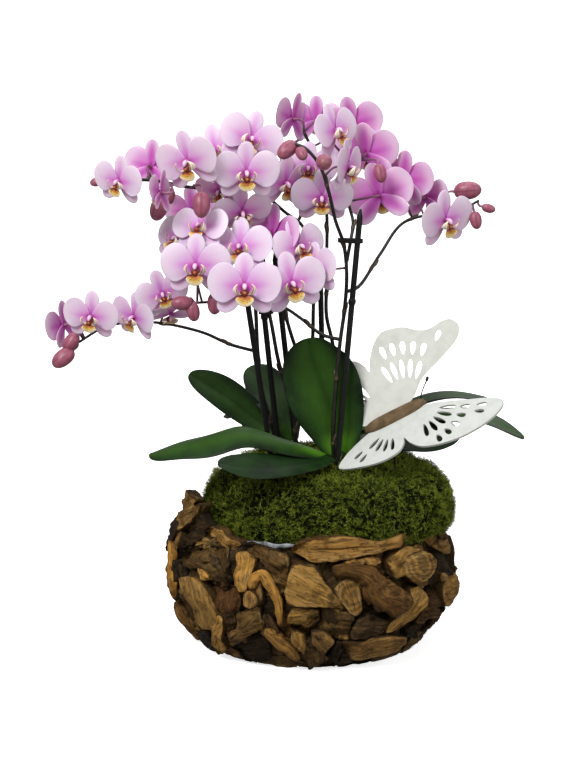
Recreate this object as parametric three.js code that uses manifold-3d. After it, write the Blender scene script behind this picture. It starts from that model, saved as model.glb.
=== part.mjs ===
// Moth orchids in bloom, planted in a round driftwood basket under a moss cushion,
// with five black support stakes and a wooden butterfly ornament.
// Millimetres, +Z up. The origin is the centre of the basket's flat underside,
// and the front of the arrangement looks along -Y.

import * as THREE from 'three';
import { mergeVertices } from 'three/addons/utils/BufferGeometryUtils.js';
import Module from 'manifold-3d';

const wasm = await Module();
wasm.setup();

// Driving dimensions

const GAP = 0.3;
const STEM_CLEARANCE = 0.45;

const BASKET = {
  rimHeight: 115,
  floorThickness: 12,
  sides: 18,
  outer: [[100, 0], [120, 32], [126, 60], [123, 92], [115, 115]],
  inner: [[107, 115], [117, 75], [110, 32], [92, 12]],
  root: 3,
  perDegree: 2.2,
  frontLean: 0.12,
  levels: [0, 29, 58, 87, 116],
  cells: 18,
  zigzag: 5,
  nodeShift: 4,
  cellStands: [8, 17],
  cellLean: 0.14,
  cellTop: 0.92,
  seed: 41,
};

const LINER = { clearance: 0.5, thickness: 0.8 };
const FILLER = { clearance: 1.7, top: 116.2, topRadius: 104.6 };

const POT = { topRadius: 41, footRadius: 31, foot: 64, rim: 148, wall: 1.4, sides: 10 };
const ROOT_BALL_TOP = 151;

const MOSS = {
  centre: [16, 0],
  sides: 22,
  profile: [[113, 116.7], [117, 122], [117, 136], [113, 149], [103, 161], [82, 169], [44, 174]],
  top: 176,
  lump: 2.6,
  roomForPot: 1.4,
  roomForCrown: 3,
};

const PLANTS = {
  left: { pot: [-38, 20], crown: [-23, 12], crownTop: 190 },
  right: { pot: [43, 46], crown: [40, 54], crownTop: 192 },
  front: { pot: [13, -47], crown: [25, -27], crownTop: 190 },
};
const CROWN = { radius: 11, sides: 7 };

const STAKE = { radius: 2.7, sides: 8 };
const STEM = { radius: 2.1, branch: 1.8, stalk: 1.2, sides: 5, branchSides: 4, step: 34 };
const LEAF = { middle: 2.6, edge: 1.1 };

const BUTTERFLY = {
  centre: [96, -36, 231],
  azimuth: -7,
  rise: 28.5,
  nearLift: -33,
  farLift: 85,
  thickness: 2.4,
  bodyRadius: 7.5,
  tail: -52,
  head: 9,
};

const FINISHES = {
  wood: { color: 0x8a6440, roughness: 0.85, metalness: 0 },
  foil: { color: 0xc9cdd0, roughness: 0.4, metalness: 0 },
  bark: { color: 0x3d2a1c, roughness: 0.95, metalness: 0 },
  pot: { color: 0xb9b4a8, roughness: 0.4, metalness: 0 },
  roots: { color: 0x6d5b40, roughness: 0.95, metalness: 0 },
  moss: { color: 0x5c7020, roughness: 1, metalness: 0 },
  leaf: { color: 0x26501f, roughness: 0.45, metalness: 0 },
  stem: { color: 0x3a3325, roughness: 0.55, metalness: 0 },
  petal: { color: 0xdcb6e2, roughness: 0.6, metalness: 0 },
  stake: { color: 0x121312, roughness: 0.5, metalness: 0 },
  paintedWood: { color: 0xf2f1ec, roughness: 0.7, metalness: 0 },
  plainWood: { color: 0x8c7156, roughness: 0.8, metalness: 0 },
  wire: { color: 0x2a2622, roughness: 0.4, metalness: 0.8 },
};

// Small helpers

const vec = (p) => new THREE.Vector3(p[0], p[1], p[2]);
const UP = vec([0, 0, 1]);

function drawer(seed) {
  let state = seed;
  return (low, high) => {
    state = (state * 1664525 + 1013904223) % 4294967296;
    return low + ((high - low) * state) / 4294967296;
  };
}

function solid(geometry) {
  const bare = geometry.clone();
  bare.deleteAttribute('normal');
  bare.deleteAttribute('uv');
  const merged = mergeVertices(bare, 1e-4);
  const corners = merged.index.array;
  const kept = [];
  for (let i = 0; i < corners.length; i += 3) {
    const [a, b, c] = [corners[i], corners[i + 1], corners[i + 2]];
    if (a !== b && b !== c && c !== a) kept.push(a, b, c);
  }
  return new wasm.Manifold(new wasm.Mesh({
    numProp: 3,
    vertProperties: Float32Array.from(merged.attributes.position.array),
    triVerts: Uint32Array.from(kept),
  }));
}

function join(solids) {
  return solids.reduce((whole, next) => whole.add(next));
}

function cut(whole, tools) {
  return tools.reduce((left, tool) => left.subtract(tool), whole);
}

function largestPiece(whole) {
  const pieces = whole.decompose();
  return pieces.reduce((best, piece) => (piece.volume() > best.volume() ? piece : best));
}

function node(name, whole, finish) {
  const { vertProperties, triVerts } = whole.getMesh();
  const geometry = new THREE.BufferGeometry();
  geometry.setAttribute('position', new THREE.BufferAttribute(vertProperties, 3));
  geometry.setIndex(new THREE.BufferAttribute(triVerts, 1));
  geometry.computeVertexNormals();
  const mesh = new THREE.Mesh(geometry, new THREE.MeshStandardMaterial(FINISHES[finish]));
  mesh.name = name;
  return mesh;
}

function indexed(points, faces) {
  const geometry = new THREE.BufferGeometry();
  const places = points.flatMap((p) => [p.x, p.y, p.z]);
  geometry.setAttribute('position', new THREE.Float32BufferAttribute(places, 3));
  geometry.setIndex(faces);
  return geometry;
}

// A closed skin through rings of points, with both ends closed flat.
function skin(rings) {
  const count = rings[0].length;
  const faces = [];
  for (let ring = 0; ring < rings.length - 1; ring += 1) {
    for (let i = 0; i < count; i += 1) {
      const next = (i + 1) % count;
      const [a, b] = [ring * count + i, ring * count + next];
      faces.push(a, b, b + count, a, b + count, a + count);
    }
  }
  const last = (rings.length - 1) * count;
  for (let i = 1; i < count - 1; i += 1) {
    faces.push(0, i + 1, i, last, last + i, last + i + 1);
  }
  return indexed(rings.flat(), faces);
}

// A flat slab of an outline, up from z = 0.
function slab(outline, depth) {
  const shape = outline instanceof THREE.Shape ? outline : new THREE.Shape(outline);
  return new THREE.ExtrudeGeometry(shape, { depth, steps: 1, bevelEnabled: false });
}

// A round bar along a smooth curve through points.
function rod(points, radius, sides = STEM.sides, step = STEM.step) {
  const curve = new THREE.CatmullRomCurve3(points, false, 'centripetal');
  const ring = Array.from({ length: sides }, (_, i) => {
    const turn = (2 * Math.PI * i) / sides;
    return new THREE.Vector2(radius * Math.cos(turn), radius * Math.sin(turn));
  });
  const steps = Math.max(1, Math.round(curve.getLength() / step));
  return solid(new THREE.ExtrudeGeometry(new THREE.Shape(ring), { steps, extrudePath: curve }));
}

function straightRod(from, to, radius, sides) {
  const length = from.distanceTo(to);
  const bar = new THREE.CylinderGeometry(radius, radius, length, sides, 1);
  bar.rotateX(Math.PI / 2);
  bar.lookAt(to.clone().sub(from));
  const middle = from.clone().add(to).multiplyScalar(0.5);
  bar.translate(middle.x, middle.y, middle.z);
  return solid(bar);
}

// A turned solid round an upright line, from [radius, height] pairs.
function turned(profile, sides, centre = [0, 0]) {
  const outline = profile.map(([radius, height]) => new THREE.Vector2(radius, height));
  const shape = new THREE.LatheGeometry(outline, sides);
  shape.rotateX(Math.PI / 2);
  shape.translate(centre[0], centre[1], 0);
  return solid(shape);
}

// Driftwood basket

function bowlRadius(height) {
  const rows = BASKET.outer;
  const level = Math.min(height, BASKET.rimHeight);
  const top = Math.max(1, rows.findIndex(([, z]) => z >= level));
  const [[r0, z0], [r1, z1]] = [rows[top - 1], rows[top]];
  return r0 + ((r1 - r0) * (level - z0)) / (z1 - z0);
}

// A place on the bowl, from the length round it, the height and the distance out of the wall.
function onBowl(length, height, out) {
  const angle = THREE.MathUtils.degToRad(length / BASKET.perDegree);
  const reach = bowlRadius(height) + out;
  return vec([reach * Math.cos(angle), reach * Math.sin(angle), height]);
}

// One piece of wood: a prism whose outline follows the bowl, its face leaning a little.
function woodPiece({ stands, corners }, lean) {
  const outline = corners.map(([degrees, height]) => new THREE.Vector2(degrees * BASKET.perDegree, height));
  const middle = outline.reduce((sum, p) => sum.add(p), new THREE.Vector2()).divideScalar(outline.length);
  const shape = slab(outline, 1);
  const place = shape.attributes.position;
  for (let i = 0; i < place.count; i += 1) {
    const [length, height] = [place.getX(i), place.getY(i)];
    const leaning = lean[0] * (length - middle.x) + lean[1] * (height - middle.y);
    const point = onBowl(length, height, place.getZ(i) > 0.5 ? stands + leaning : -BASKET.root);
    place.setXYZ(i, point.x, point.y, point.z);
  }
  return solid(shape);
}

// A stick that lies on the bowl along a line.
function woodLimb({ stands, line }) {
  const centres = line.map(([degrees, height]) => onBowl(degrees * BASKET.perDegree, height, stands));
  const rings = centres.map((centre, i) => {
    const [before, after] = [centres[Math.max(0, i - 1)], centres[Math.min(centres.length - 1, i + 1)]];
    const along = after.clone().sub(before).normalize();
    const side = along.clone().cross(vec([centre.x, centre.y, 0]).normalize()).normalize();
    const out = side.clone().cross(along);
    return Array.from({ length: 4 }, (_, k) => {
      const turn = (2 * Math.PI * (k + 0.5)) / 4;
      return centre.clone().addScaledVector(side, line[i][2] * Math.cos(turn))
        .addScaledVector(out, line[i][2] * Math.sin(turn));
    });
  });
  return solid(skin(rings.reverse()));
}

// The pieces that show at the front, as they lie: corners in degrees round the bowl and height.
const FRONT_WOOD = [
  { stands: 8, corners: [[-162, 147], [-182, 132], [-182, 121], [-158, 138], [-153, 147]] },
  { stands: 13, corners: [[-178, 118], [-169, 109], [-156, 124], [-146, 144], [-148, 146]] },
  { stands: 8, corners: [[-126, 109], [-123, 118], [-133, 126], [-141, 127], [-145, 121]] },
  { stands: 13, corners: [[-139, 91], [-126, 82], [-131, 113], [-143, 111], [-159, 90]] },
  { stands: 14, corners: [[-122, 83], [-116, 79], [-114, 101], [-118, 113], [-123, 109]] },
  { stands: 11, corners: [[-111, 105], [-101, 83], [-102, 114], [-118, 119], [-122, 116]] },
  { stands: 17, corners: [[-141, 32], [-130, 38], [-130, 61], [-138, 80], [-151, 76]] },
  { stands: 16, corners: [[-141, 6], [-130, 15], [-130, 26], [-127, 49], [-129, 54]] },
  { stands: 15, corners: [[-131, 14], [-109, 48], [-111, 67], [-119, 58], [-121, 43]] },
  { stands: 16, corners: [[-74, 14], [-70, 10], [-54, 14], [-50, 29], [-59, 35], [-79, 34]] },
  { stands: 15, corners: [[-91, 108], [-83, 108], [-67, 112], [-50, 115], [-47, 125], [-62, 123],
    [-73, 129], [-86, 130], [-97, 124], [-100, 117]] },
  { stands: 18, corners: [[-101, 82], [-97, 70], [-79, 67], [-81, 76], [-90, 103], [-99, 103]] },
  { stands: 15, corners: [[-77, 62], [-72, 64], [-73, 84], [-78, 93], [-83, 84]] },
  { stands: 20, corners: [[-54, 92], [-45, 80], [-36, 96], [-42, 108], [-52, 105]] },
  { stands: 17, corners: [[-58, 88], [-53, 91], [-51, 103], [-41, 107], [-53, 113], [-60, 103]] },
  { stands: 16, corners: [[-50, 64], [-60, 47], [-61, 38], [-48, 45], [-42, 66], [-51, 77]] },
  { stands: 17, corners: [[-26, 45], [-9, 48], [-15, 70], [-23, 76], [-30, 68]] },
  { stands: 12, corners: [[-32, 106], [-24, 94], [-14, 89], [0, 97], [-27, 108]] },
];

// Sticks at the front: degrees round the bowl, height and radius.
const LIMBS = [
  { stands: 12, line: [[-182, 100, 4.1], [-170, 88, 4.5], [-168, 71, 4.6], [-163, 60, 4.3],
    [-167, 45, 2.9]] },
  { stands: 12, line: [[-115, 82, 5.3], [-113, 92, 5.3], [-110, 95, 4.8], [-107, 87, 4.8], [-104, 75, 4.5],
    [-103, 63, 3.5], [-103, 50, 2.3]] },
  { stands: 12, line: [[-83, 100, 6.3], [-76, 100, 6.3], [-70, 95, 9.2], [-65, 79, 13.6], [-58, 68, 13.6],
    [-51, 65, 9.2]] },
  { stands: 10, line: [[-172, 36, 3.4], [-167, 32, 5.3], [-165, 22, 5.3], [-165, 3, 3.1]] },
  { stands: 10, line: [[-110, 43, 3.5], [-107, 40, 6.3], [-103, 31, 6.8], [-100, 24, 6.3], [-97, 13, 3.4]] },
];

// The bowl in one skin. Outside it is an uneven honeycomb: each level has nodes in zigzag, moved a
// little at random, and a cell takes three of the level under it and three of the one above. At the
// sides and back each cell is a raised piece of wood. Inside it is a plain wall.
function combBowl(draw) {
  const { cells, levels, zigzag, nodeShift, cellStands, cellLean, cellTop, inner, floorThickness } = BASKET;
  const count = 2 * cells;
  const nodes = levels.map((height, level) => Array.from({ length: count }, (_, j) => {
    const angle = ((j + draw(-0.25, 0.25)) * 180) / cells;
    const moved = height + ((j + level) % 2 ? -zigzag : zigzag) + draw(-nodeShift, nodeShift);
    return [angle, level > 0 ? moved : 0];
  }));
  const points = nodes.flat().map(([angle, height]) => onBowl(angle * BASKET.perDegree, height, 0));
  const faces = [];
  for (let row = 0; row < levels.length - 1; row += 1) {
    for (let i = 0; i < cells; i += 1) {
      const first = 2 * i + (row % 2);
      const ring = [[row, 0], [row, 1], [row, 2], [row + 1, 2], [row + 1, 1], [row + 1, 0]];
      const border = ring.map(([level, k]) => level * count + ((first + k) % count));
      const corners = ring.map(([level, k]) => {
        const [angle, height] = nodes[level][(first + k) % count];
        return [angle + 360 * Math.floor((first + k) / count), height];
      });
      const middle = [0, 1].map((axis) => corners.reduce((sum, corner) => sum + corner[axis] / 6, 0));
      const stands = draw(...cellStands);
      const lean = [draw(-cellLean, cellLean), draw(-cellLean, cellLean)];
      const raised = middle[0] % 360 <= 180;
      const start = points.length;
      if (raised) {
        corners.forEach(([angle, height]) => {
          const off = [(angle - middle[0]) * cellTop * BASKET.perDegree, (height - middle[1]) * cellTop];
          const out = stands + lean[0] * off[0] + lean[1] * off[1];
          points.push(onBowl(middle[0] * BASKET.perDegree + off[0], middle[1] + off[1], out));
        });
      }
      for (let k = 0; k < 6 && raised; k += 1) {
        const next = (k + 1) % 6;
        faces.push(border[k], border[next], start + next, border[k], start + next, start + k);
      }
      const top = raised ? border.map((_, k) => start + k) : border;
      for (let k = 1; k < 5; k += 1) faces.push(top[0], top[k], top[k + 1]);
    }
  }
  let outer = (levels.length - 1) * count;
  inner.forEach(([radius, height]) => {
    const start = points.length;
    for (let j = 0; j < count; j += 1) {
      const turn = (Math.PI * j) / cells;
      points.push(vec([radius * Math.cos(turn), radius * Math.sin(turn), height]));
      const next = (j + 1) % count;
      faces.push(outer + j, outer + next, start + next, outer + j, start + next, start + j);
    }
    outer = start;
  });
  points.push(vec([0, 0, floorThickness]), vec([0, 0, 0]));
  for (let j = 0; j < count; j += 1) {
    const next = (j + 1) % count;
    faces.push(outer + j, outer + next, points.length - 2, next, j, points.length - 1);
  }
  return solid(indexed(points, faces));
}

function driftwoodBasket() {
  const draw = drawer(BASKET.seed);
  const bowl = combBowl(draw);
  const { frontLean } = BASKET;
  const front = FRONT_WOOD.map((row) => (
    woodPiece(row, [draw(-frontLean, frontLean), draw(-frontLean, frontLean)])));
  const below = new THREE.BoxGeometry(400, 400, 60).translate(0, 0, -30);
  const heap = join([bowl, ...front, ...LIMBS.map(woodLimb)]);
  return largestPiece(cut(heap, [solid(below), mossSpace(), innerSpace()]));
}

function innerWall(offset) {
  return BASKET.inner.map(([r, z], i) => [r - offset, i === BASKET.inner.length - 1 ? z + offset : z]);
}

// The room inside the wall, kept free of the pieces' roots.
function innerSpace() {
  const clearance = LINER.clearance / 2;
  const rows = innerWall(clearance).reverse();
  const mouth = rows[rows.length - 1][0];
  return turned([[0, rows[0][1]], ...rows, [mouth, MOSS.top], [0, MOSS.top]], BASKET.sides);
}

function foilLiner() {
  const outside = innerWall(LINER.clearance).reverse();
  const inside = innerWall(LINER.clearance + LINER.thickness);
  const floor = BASKET.floorThickness;
  return turned([
    [0, floor + LINER.clearance],
    ...outside,
    ...inside,
    [0, floor + LINER.clearance + LINER.thickness],
  ], BASKET.sides);
}

function potOutline(grow) {
  return [
    [0, POT.foot - grow],
    [POT.footRadius + grow, POT.foot - grow],
    [POT.topRadius + grow, POT.rim + grow],
  ];
}

function pottingFiller() {
  const wall = innerWall(FILLER.clearance).reverse();
  const bed = turned([[0, BASKET.floorThickness + FILLER.clearance], ...wall,
    [FILLER.topRadius, FILLER.top], [0, FILLER.top]], BASKET.sides);
  const holes = Object.values(PLANTS).map(({ pot }) => turned([
    ...potOutline(GAP), [0, POT.rim + GAP]], POT.sides, pot));
  return cut(bed, holes);
}

function nurseryPot(centre) {
  return turned([
    ...potOutline(0),
    [POT.topRadius - POT.wall, POT.rim],
    [POT.footRadius - POT.wall, POT.foot + POT.wall],
    [0, POT.foot + POT.wall],
  ], POT.sides, centre);
}

function rootBall(centre) {
  const inset = POT.wall + GAP;
  return turned([
    [0, POT.foot + inset],
    [POT.footRadius - inset, POT.foot + inset],
    [POT.topRadius - inset - 0.4, POT.rim],
    [POT.topRadius - 6, ROOT_BALL_TOP],
    [0, ROOT_BALL_TOP],
  ], POT.sides, centre);
}

// Moss cushion: a turned dome whose skin is raised in lumps by crossed waves.
function mossCushion() {
  const rows = [[0, MOSS.profile[0][1]], ...MOSS.profile, [0, MOSS.top]];
  const shape = new THREE.LatheGeometry(rows.map(([r, z]) => new THREE.Vector2(r, z)), MOSS.sides);
  shape.rotateX(Math.PI / 2);
  const skinPoints = shape.attributes.position;
  for (let i = 0; i < skinPoints.count; i += 1) {
    const [x, y, z] = [skinPoints.getX(i), skinPoints.getY(i), skinPoints.getZ(i)];
    if (z > MOSS.profile[0][1] + 1 && Math.hypot(x, y) > 1) {
      const wave = Math.sin(0.13 * x + 0.9) * Math.cos(0.15 * y)
        + Math.sin(0.19 * (x + y)) * Math.cos(0.11 * z);
      const out = vec([x / 110, y / 110, Math.max(0.1, (z - 120) / 60)]).normalize();
      const lift = 0.5 * MOSS.lump * wave;
      skinPoints.setXYZ(i, x + out.x * lift, y + out.y * lift, z + out.z * lift);
    }
  }
  shape.translate(MOSS.centre[0], MOSS.centre[1], 0);
  return solid(shape);
}

// The room that the moss takes above the rim, kept free of wood.
function mossSpace() {
  const margin = MOSS.lump + GAP;
  const [[footRadius, foot], [radius, bulge]] = MOSS.profile;
  return turned([[0, foot - 0.5], [footRadius + margin, foot - 0.5], [radius + margin, bulge],
    [radius + margin, MOSS.top], [0, MOSS.top]], MOSS.sides, MOSS.centre);
}

// The room over a pot, cut out of the moss.
function potSpace(centre) {
  const radius = POT.topRadius + MOSS.roomForPot;
  return turned([[0, 100], [radius, 100], [radius, ROOT_BALL_TOP + GAP], [0, ROOT_BALL_TOP + GAP]],
    POT.sides, centre);
}

// Leaves

// Half-width along a leaf: a narrow neck, fullest past the middle, a round tip.
function leafHalfWidth(t, width) {
  const fullest = 0.6;
  if (t <= fullest) return (width / 2) * (0.34 + 0.66 * Math.sin((0.5 * Math.PI * t) / fullest));
  return (width / 2) * Math.sqrt(Math.max(0.02, 1 - ((t - fullest) / (1.004 - fullest)) ** 2));
}

// fold lifts the two edges above the middle line (negative: lets them droop).
function leafBlade({ spine, width, face, fold }) {
  const curve = new THREE.CatmullRomCurve3(spine.map(vec));
  const stations = [0, 0.2, 0.45, 0.7, 0.9, 1];
  const rings = stations.map((t) => {
    const at = curve.getPointAt(t);
    const along = curve.getTangentAt(t);
    const side = along.clone().cross(vec(face)).normalize();
    const up = side.clone().cross(along).normalize();
    const half = leafHalfWidth(t, width);
    const point = (across, height) => at.clone().addScaledVector(side, across).addScaledVector(up, height);
    const rise = fold * half;
    return [
      point(-half, rise + LEAF.edge / 2),
      point(0, LEAF.middle / 2),
      point(half, rise + LEAF.edge / 2),
      point(half, rise - LEAF.edge / 2),
      point(0, -LEAF.middle / 2),
      point(-half, rise - LEAF.edge / 2),
    ];
  });
  return solid(skin(rings));
}

const LEAVES = {
  left: [
    { spine: [[-28, 20, 188], [-54, 29, 206], [-86, 34, 230], [-119, 38, 249]],
      width: 46, face: [0.2, -0.75, 0.65], fold: 0.12 },
    { spine: [[-20, 20, 188], [-30, 40, 214], [-46, 58, 236], [-62, 70, 250]],
      width: 46, face: [0.3, -0.8, 0.5], fold: 0.1 },
    { spine: [[-32, 18, 183], [-48, 22, 191], [-68, 24, 200]],
      width: 30, face: [0.2, -0.3, 0.9], fold: 0.15 },
    { spine: [[-27, 20, 182], [-48, 52, 198], [-84, 84, 206], [-112, 104, 196]],
      width: 44, face: [0, 0, 1], fold: 0.15 },
  ],
  right: [
    { spine: [[47, 56, 188], [90, 60, 213], [137, 62, 227], [173, 60, 224]],
      width: 40, face: [-0.2, 0, 1], fold: 0.16 },
    { spine: [[47, 50, 184], [110, 38, 206], [163, 28, 208], [205, 20, 189]],
      width: 44, face: [0, -0.1, 1], fold: 0.12 },
    { spine: [[44, 46, 181], [88, 24, 190], [136, 4, 188]],
      width: 40, face: [0, 0, 1], fold: 0.1 },
    { spine: [[43, 62, 184], [64, 92, 204], [92, 122, 206], [112, 138, 194]],
      width: 46, face: [0, 0, 1], fold: 0.15 },
    { spine: [[36, 61, 184], [16, 92, 206], [-6, 120, 214], [-24, 140, 206]],
      width: 46, face: [0, 0, 1], fold: 0.15 },
  ],
  front: [
    { spine: [[17, -30, 183], [-17, -44, 197], [-67, -56, 212], [-108, -56, 203], [-152, -50, 188]],
      width: 52, face: [0, 0.1, 1], fold: -0.3 },
    { spine: [[19, -36, 182], [-8, -64, 185], [-44, -92, 189], [-86, -106, 196]],
      width: 42, face: [-0.1, -0.45, 0.9], fold: 0.1 },
    { spine: [[27, -31, 180], [22, -29, 207], [12, -29, 246], [6, -27, 274], [5, -25, 293]],
      width: 68, face: [0, -1, 0.05], fold: 0.16 },
    { spine: [[32, -22, 182], [50, -10, 190], [70, 4, 194]],
      width: 34, face: [0, 0, 1], fold: 0.15 },
  ],
};

function crown({ crown: [x, y], crownTop }) {
  return turned([
    [0, ROOT_BALL_TOP + GAP],
    [CROWN.radius * 0.8, ROOT_BALL_TOP + GAP],
    [CROWN.radius, 170],
    [CROWN.radius * 0.6, crownTop],
    [0, crownTop],
  ], CROWN.sides, [x, y]);
}

// Stakes

const STAKES = {
  1: [[-30, -1, 112], [-72, -16, 401]],
  2: [[-25, 7, 112], [-55, -10, 405]],
  3: [[-8, 27, 112], [-36, 9, 370]],
  4: [[14, 42, 112], [7, 26, 374]],
  5: [[17, -43, 112], [43, -38, 415]],
};

const stakeRod = (points, grow = 0) => straightRod(vec(points[0]).addScaledVector(UP, -grow), vec(points[1]),
  STAKE.radius + grow, STAKE.sides);

// Flower spikes: the main stem first, then its side branches, all through points that
// follow the real ones.
const SPIKES = {
  1: {
    stem: [[-29, 12, 168], [-41, 9, 211], [-48, 5, 239], [-52, 1, 279], [-54, -3, 321], [-60, -6, 360],
      [-68, -4, 395], [-81, -10, 417], [-98, -18, 431], [-118, -26, 435], [-149, -32, 441], [-186, -42, 441]],
    branches: [[[-52, 1, 277], [-78, 2, 284], [-102, 0, 295], [-125, -4, 302], [-144, -8, 306],
      [-171, -18, 308], [-195, -26, 304], [-218, -34, 291]]],
  },
  2: {
    stem: [[-17, 15, 168], [-17, 12, 212], [-32, 2, 267], [-38, -2, 300], [-42, -3, 322], [-45, -1, 356],
      [-50, 0, 384], [-62, 4, 409], [-76, 8, 432], [-88, 12, 456]],
    branches: [],
  },
  3: {
    stem: [[32, 57, 170], [20, 53, 196], [2, 40, 228], [-12, 30, 266], [-20, 22, 290], [-27, 18, 316],
      [-32, 17, 342], [-34, 15, 368], [-28, 14, 382], [-12, 24, 402], [-9, 34, 432]],
    branches: [],
  },
  4: {
    stem: [[37, 47, 170], [25, 42, 194], [15, 43, 216], [6, 41, 240], [1, 35, 270], [1, 27, 304],
      [0, 16, 368], [-10, 10, 396], [-26, 4, 409], [-49, -2, 430]],
    branches: [],
  },
  5: {
    stem: [[44, 49, 170], [40, 47, 200], [29, 44, 227], [20, 40, 280], [14, 36, 307], [14, 34, 340],
      [14, 34, 367], [14, 35, 402], [12, 36, 423], [4, 40, 456], [-8, 40, 482]],
    branches: [],
  },
  6: {
    stem: [[22, -33, 166], [19, -37, 196], [21, -38, 247], [25, -36, 292], [29, -32, 321], [31, -29, 354],
      [28, -30, 382], [20, -38, 405], [14, -48, 430], [5, -52, 456], [-8, -48, 471], [-19, -42, 475]],
    branches: [
      [[31, -28, 366], [35, -24, 387], [37, -18, 401], [33, -8, 418], [30, 2, 438],
        [37, 10, 452], [46, 14, 457]],
      [[31, -29, 338], [42, -24, 342], [63, -8, 371], [85, 4, 399], [119, 6, 408],
        [140, 4, 412], [155, 0, 420]],
      [[26, -35, 294], [8, -42, 300], [-12, -46, 316], [-30, -46, 327], [-67, -46, 333], [-92, -54, 332],
        [-108, -62, 332]],
    ],
  },
};

// Buds: spike, centre, the way the tip points, length.
const BUDS = [
  [1, [-197, -41, 440], [-1, 0, -0.2], 13],
  [1, [-131, -33, 426], [-0.2, 0.2, -1], 14],
  [1, [-141, -34, 416], [-0.4, 0, -1], 25],
  [1, [-101, -64, 421], [0, -0.3, -1], 24],
  [1, [-224, -38, 292], [-0.6, -0.2, -0.8], 20],
  [1, [-231, -42, 278], [-0.9, -0.3, -0.7], 24],
  [6, [-24, -42, 469], [-0.6, -0.4, -0.5], 22],
  [6, [-11, -50, 466], [0.3, -0.8, -0.5], 16],
  [6, [9, -62, 459], [0, -1, 0], 22],
  [6, [62, -12, 446], [0.2, -0.4, -1], 18],
  [6, [145, 6, 429], [1, -0.2, 0.1], 26],
  [6, [164, -2, 413], [0.7, -0.1, -0.2], 13],
  [6, [152, -4, 402], [0.2, -0.2, -1], 17],
  [6, [-119, -71, 333], [-0.8, -0.2, 0], 20],
  [6, [-109, -70, 325], [0.2, -0.2, -1], 18],
  [6, [-90, -60, 331], [0, -0.2, -1], 20],
];

// Blooms: name, spike, centre, the way the face looks (degrees right of the front and
// degrees up), the turn in its own plane, and size against a 66 mm bloom.
const BLOOMS = [
  ['a01', 1, [-174, -68, 442], -30, -8, -8, 0.8],
  ['a02', 1, [-150, -12, 452], 165, -8, 5, 0.85],
  ['a03', 1, [-137, -66, 432], -110, 0, 10, 0.7],
  ['a04', 1, [-112, -62, 459], -25, -12, 12, 0.98],
  ['a05', 2, [-61, -58, 449], 8, -6, 0, 0.95],
  ['a06', 2, [-58, -24, 477], 15, 8, -20, 0.95],
  ['a07', 1, [-90, -14, 466], -15, 12, 15, 0.9],
  ['a08', 1, [-86, -36, 432], -20, -30, 0, 0.7],
  ['a09', 1, [-112, -6, 410], -160, -25, 0, 0.85],
  ['a10', 2, [-65, -36, 413], 10, -30, 10, 0.85],
  ['a11', 4, [-26, -16, 437], 30, -15, 0, 0.9],
  ['a12', 2, [-94, 18, 400], 95, -30, 0, 0.8],
  ['a13', 3, [-37, -31, 389], 80, -10, 0, 0.93],
  ['b01', 5, [-18, 46, 494], -125, 5, 10, 0.85],
  ['b02', 5, [4, 60, 492], 175, -5, 0, 0.8],
  ['b03', 6, [20, -8, 484], 110, 10, 10, 0.9],
  ['b04', 3, [-4, -12, 450], -5, 5, 0, 0.85],
  ['b05', 5, [8, -20, 424], 0, -12, 0, 0.9],
  ['b06', 6, [30, -36, 452], 80, -5, 0, 0.9],
  ['c01', 5, [38, 46, 488], 165, 8, -10, 0.95],
  ['c02', 6, [50, 24, 462], 172, 4, -5, 1],
  ['c03', 6, [62, 6, 424], 168, -4, -15, 1.05],
  ['c04', 6, [86, 28, 438], 150, 4, 10, 0.95],
  ['c05', 6, [122, -18, 403], 46, -8, 8, 0.95],
  ['c06', 6, [108, 36, 420], 135, 0, 0, 0.85],
  ['d01', 1, [-232, -22, 306], -120, -5, -10, 0.8],
  ['d02', 1, [-203, -54, 318], -12, -8, -5, 0.82],
  ['d03', 1, [-164, -42, 316], -40, -10, -10, 0.82],
  ['d04', 1, [-138, -46, 338], 5, -5, 20, 0.78],
  ['d05', 1, [-133, -30, 318], 20, -60, 0, 0.75],
  ['e01', 6, [-106, -72, 366], -5, 2, 0, 1],
  ['e02', 6, [-62, -92, 350], 2, 4, 0, 1.03],
  ['e03', 6, [-20, -70, 350], 14, 2, 12, 1],
  ['e04', 6, [-67, -52, 381], -8, 12, 0, 0.95],
  ['e05', 6, [-124, -34, 386], -40, 20, -20, 0.85],
  ['e06', 3, [-14, -40, 380], 35, 10, 10, 0.9],
  ['e07', 6, [-103, -49, 399], -20, 25, 0, 0.85],
  ['e08', 6, [3, -57, 360], 55, -5, 10, 0.88],
];

// One bloom, facing +Z with its top sepal along +Y. A six-sided core carries the blades: three
// sepals behind, two broad petals before them, the lip below, and the column at its tip.
const BLOOM = {
  core: [[-1, 2.6], [0.1, 2.8], [1.3, 2.8]],
  tip: [0, 1, 10],
  sepal: [[9.5, 14], [6, 29], [-6, 29], [-9.5, 14]],
  petal: [[11, 6], [17.5, 18], [9, 31.5], [-8, 31], [-14.5, 12]],
  lip: [[9, 7, 10.5], [3.5, 10, 8], [5.5, 17.5, 10], [-5.5, 17.5, 10], [-3.5, 10, 8], [-9, 7, 10.5]],
  sepalLift: [-1.5, -2],
  petalLift: [4.5, -1.5],
};

// A blade's outline in [across, along the axis] from the core, turned to its bearing and lifted
// by a curve along its length.
function bladePoints(outline, bearing, base, [slope, droop]) {
  const turn = THREE.MathUtils.degToRad(bearing);
  return outline.map(([across, reach]) => {
    const share = Math.hypot(across, reach) / 33;
    return vec([
      reach * Math.cos(turn) + across * Math.sin(turn),
      reach * Math.sin(turn) - across * Math.cos(turn),
      base + slope * share + droop * share * share,
    ]);
  });
}

// Blooms that touch each other are held in one body.
const TOUCHING = [['a04', 'a05'], ['a08', 'a10'], ['a09', 'a12'], ['a11', 'b04', 'b05', 'b06'],
  ['a13', 'e04'], ['b01', 'b02', 'c01'], ['d04', 'd05'], ['e03', 'e08'], ['e05', 'e07']];

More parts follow.
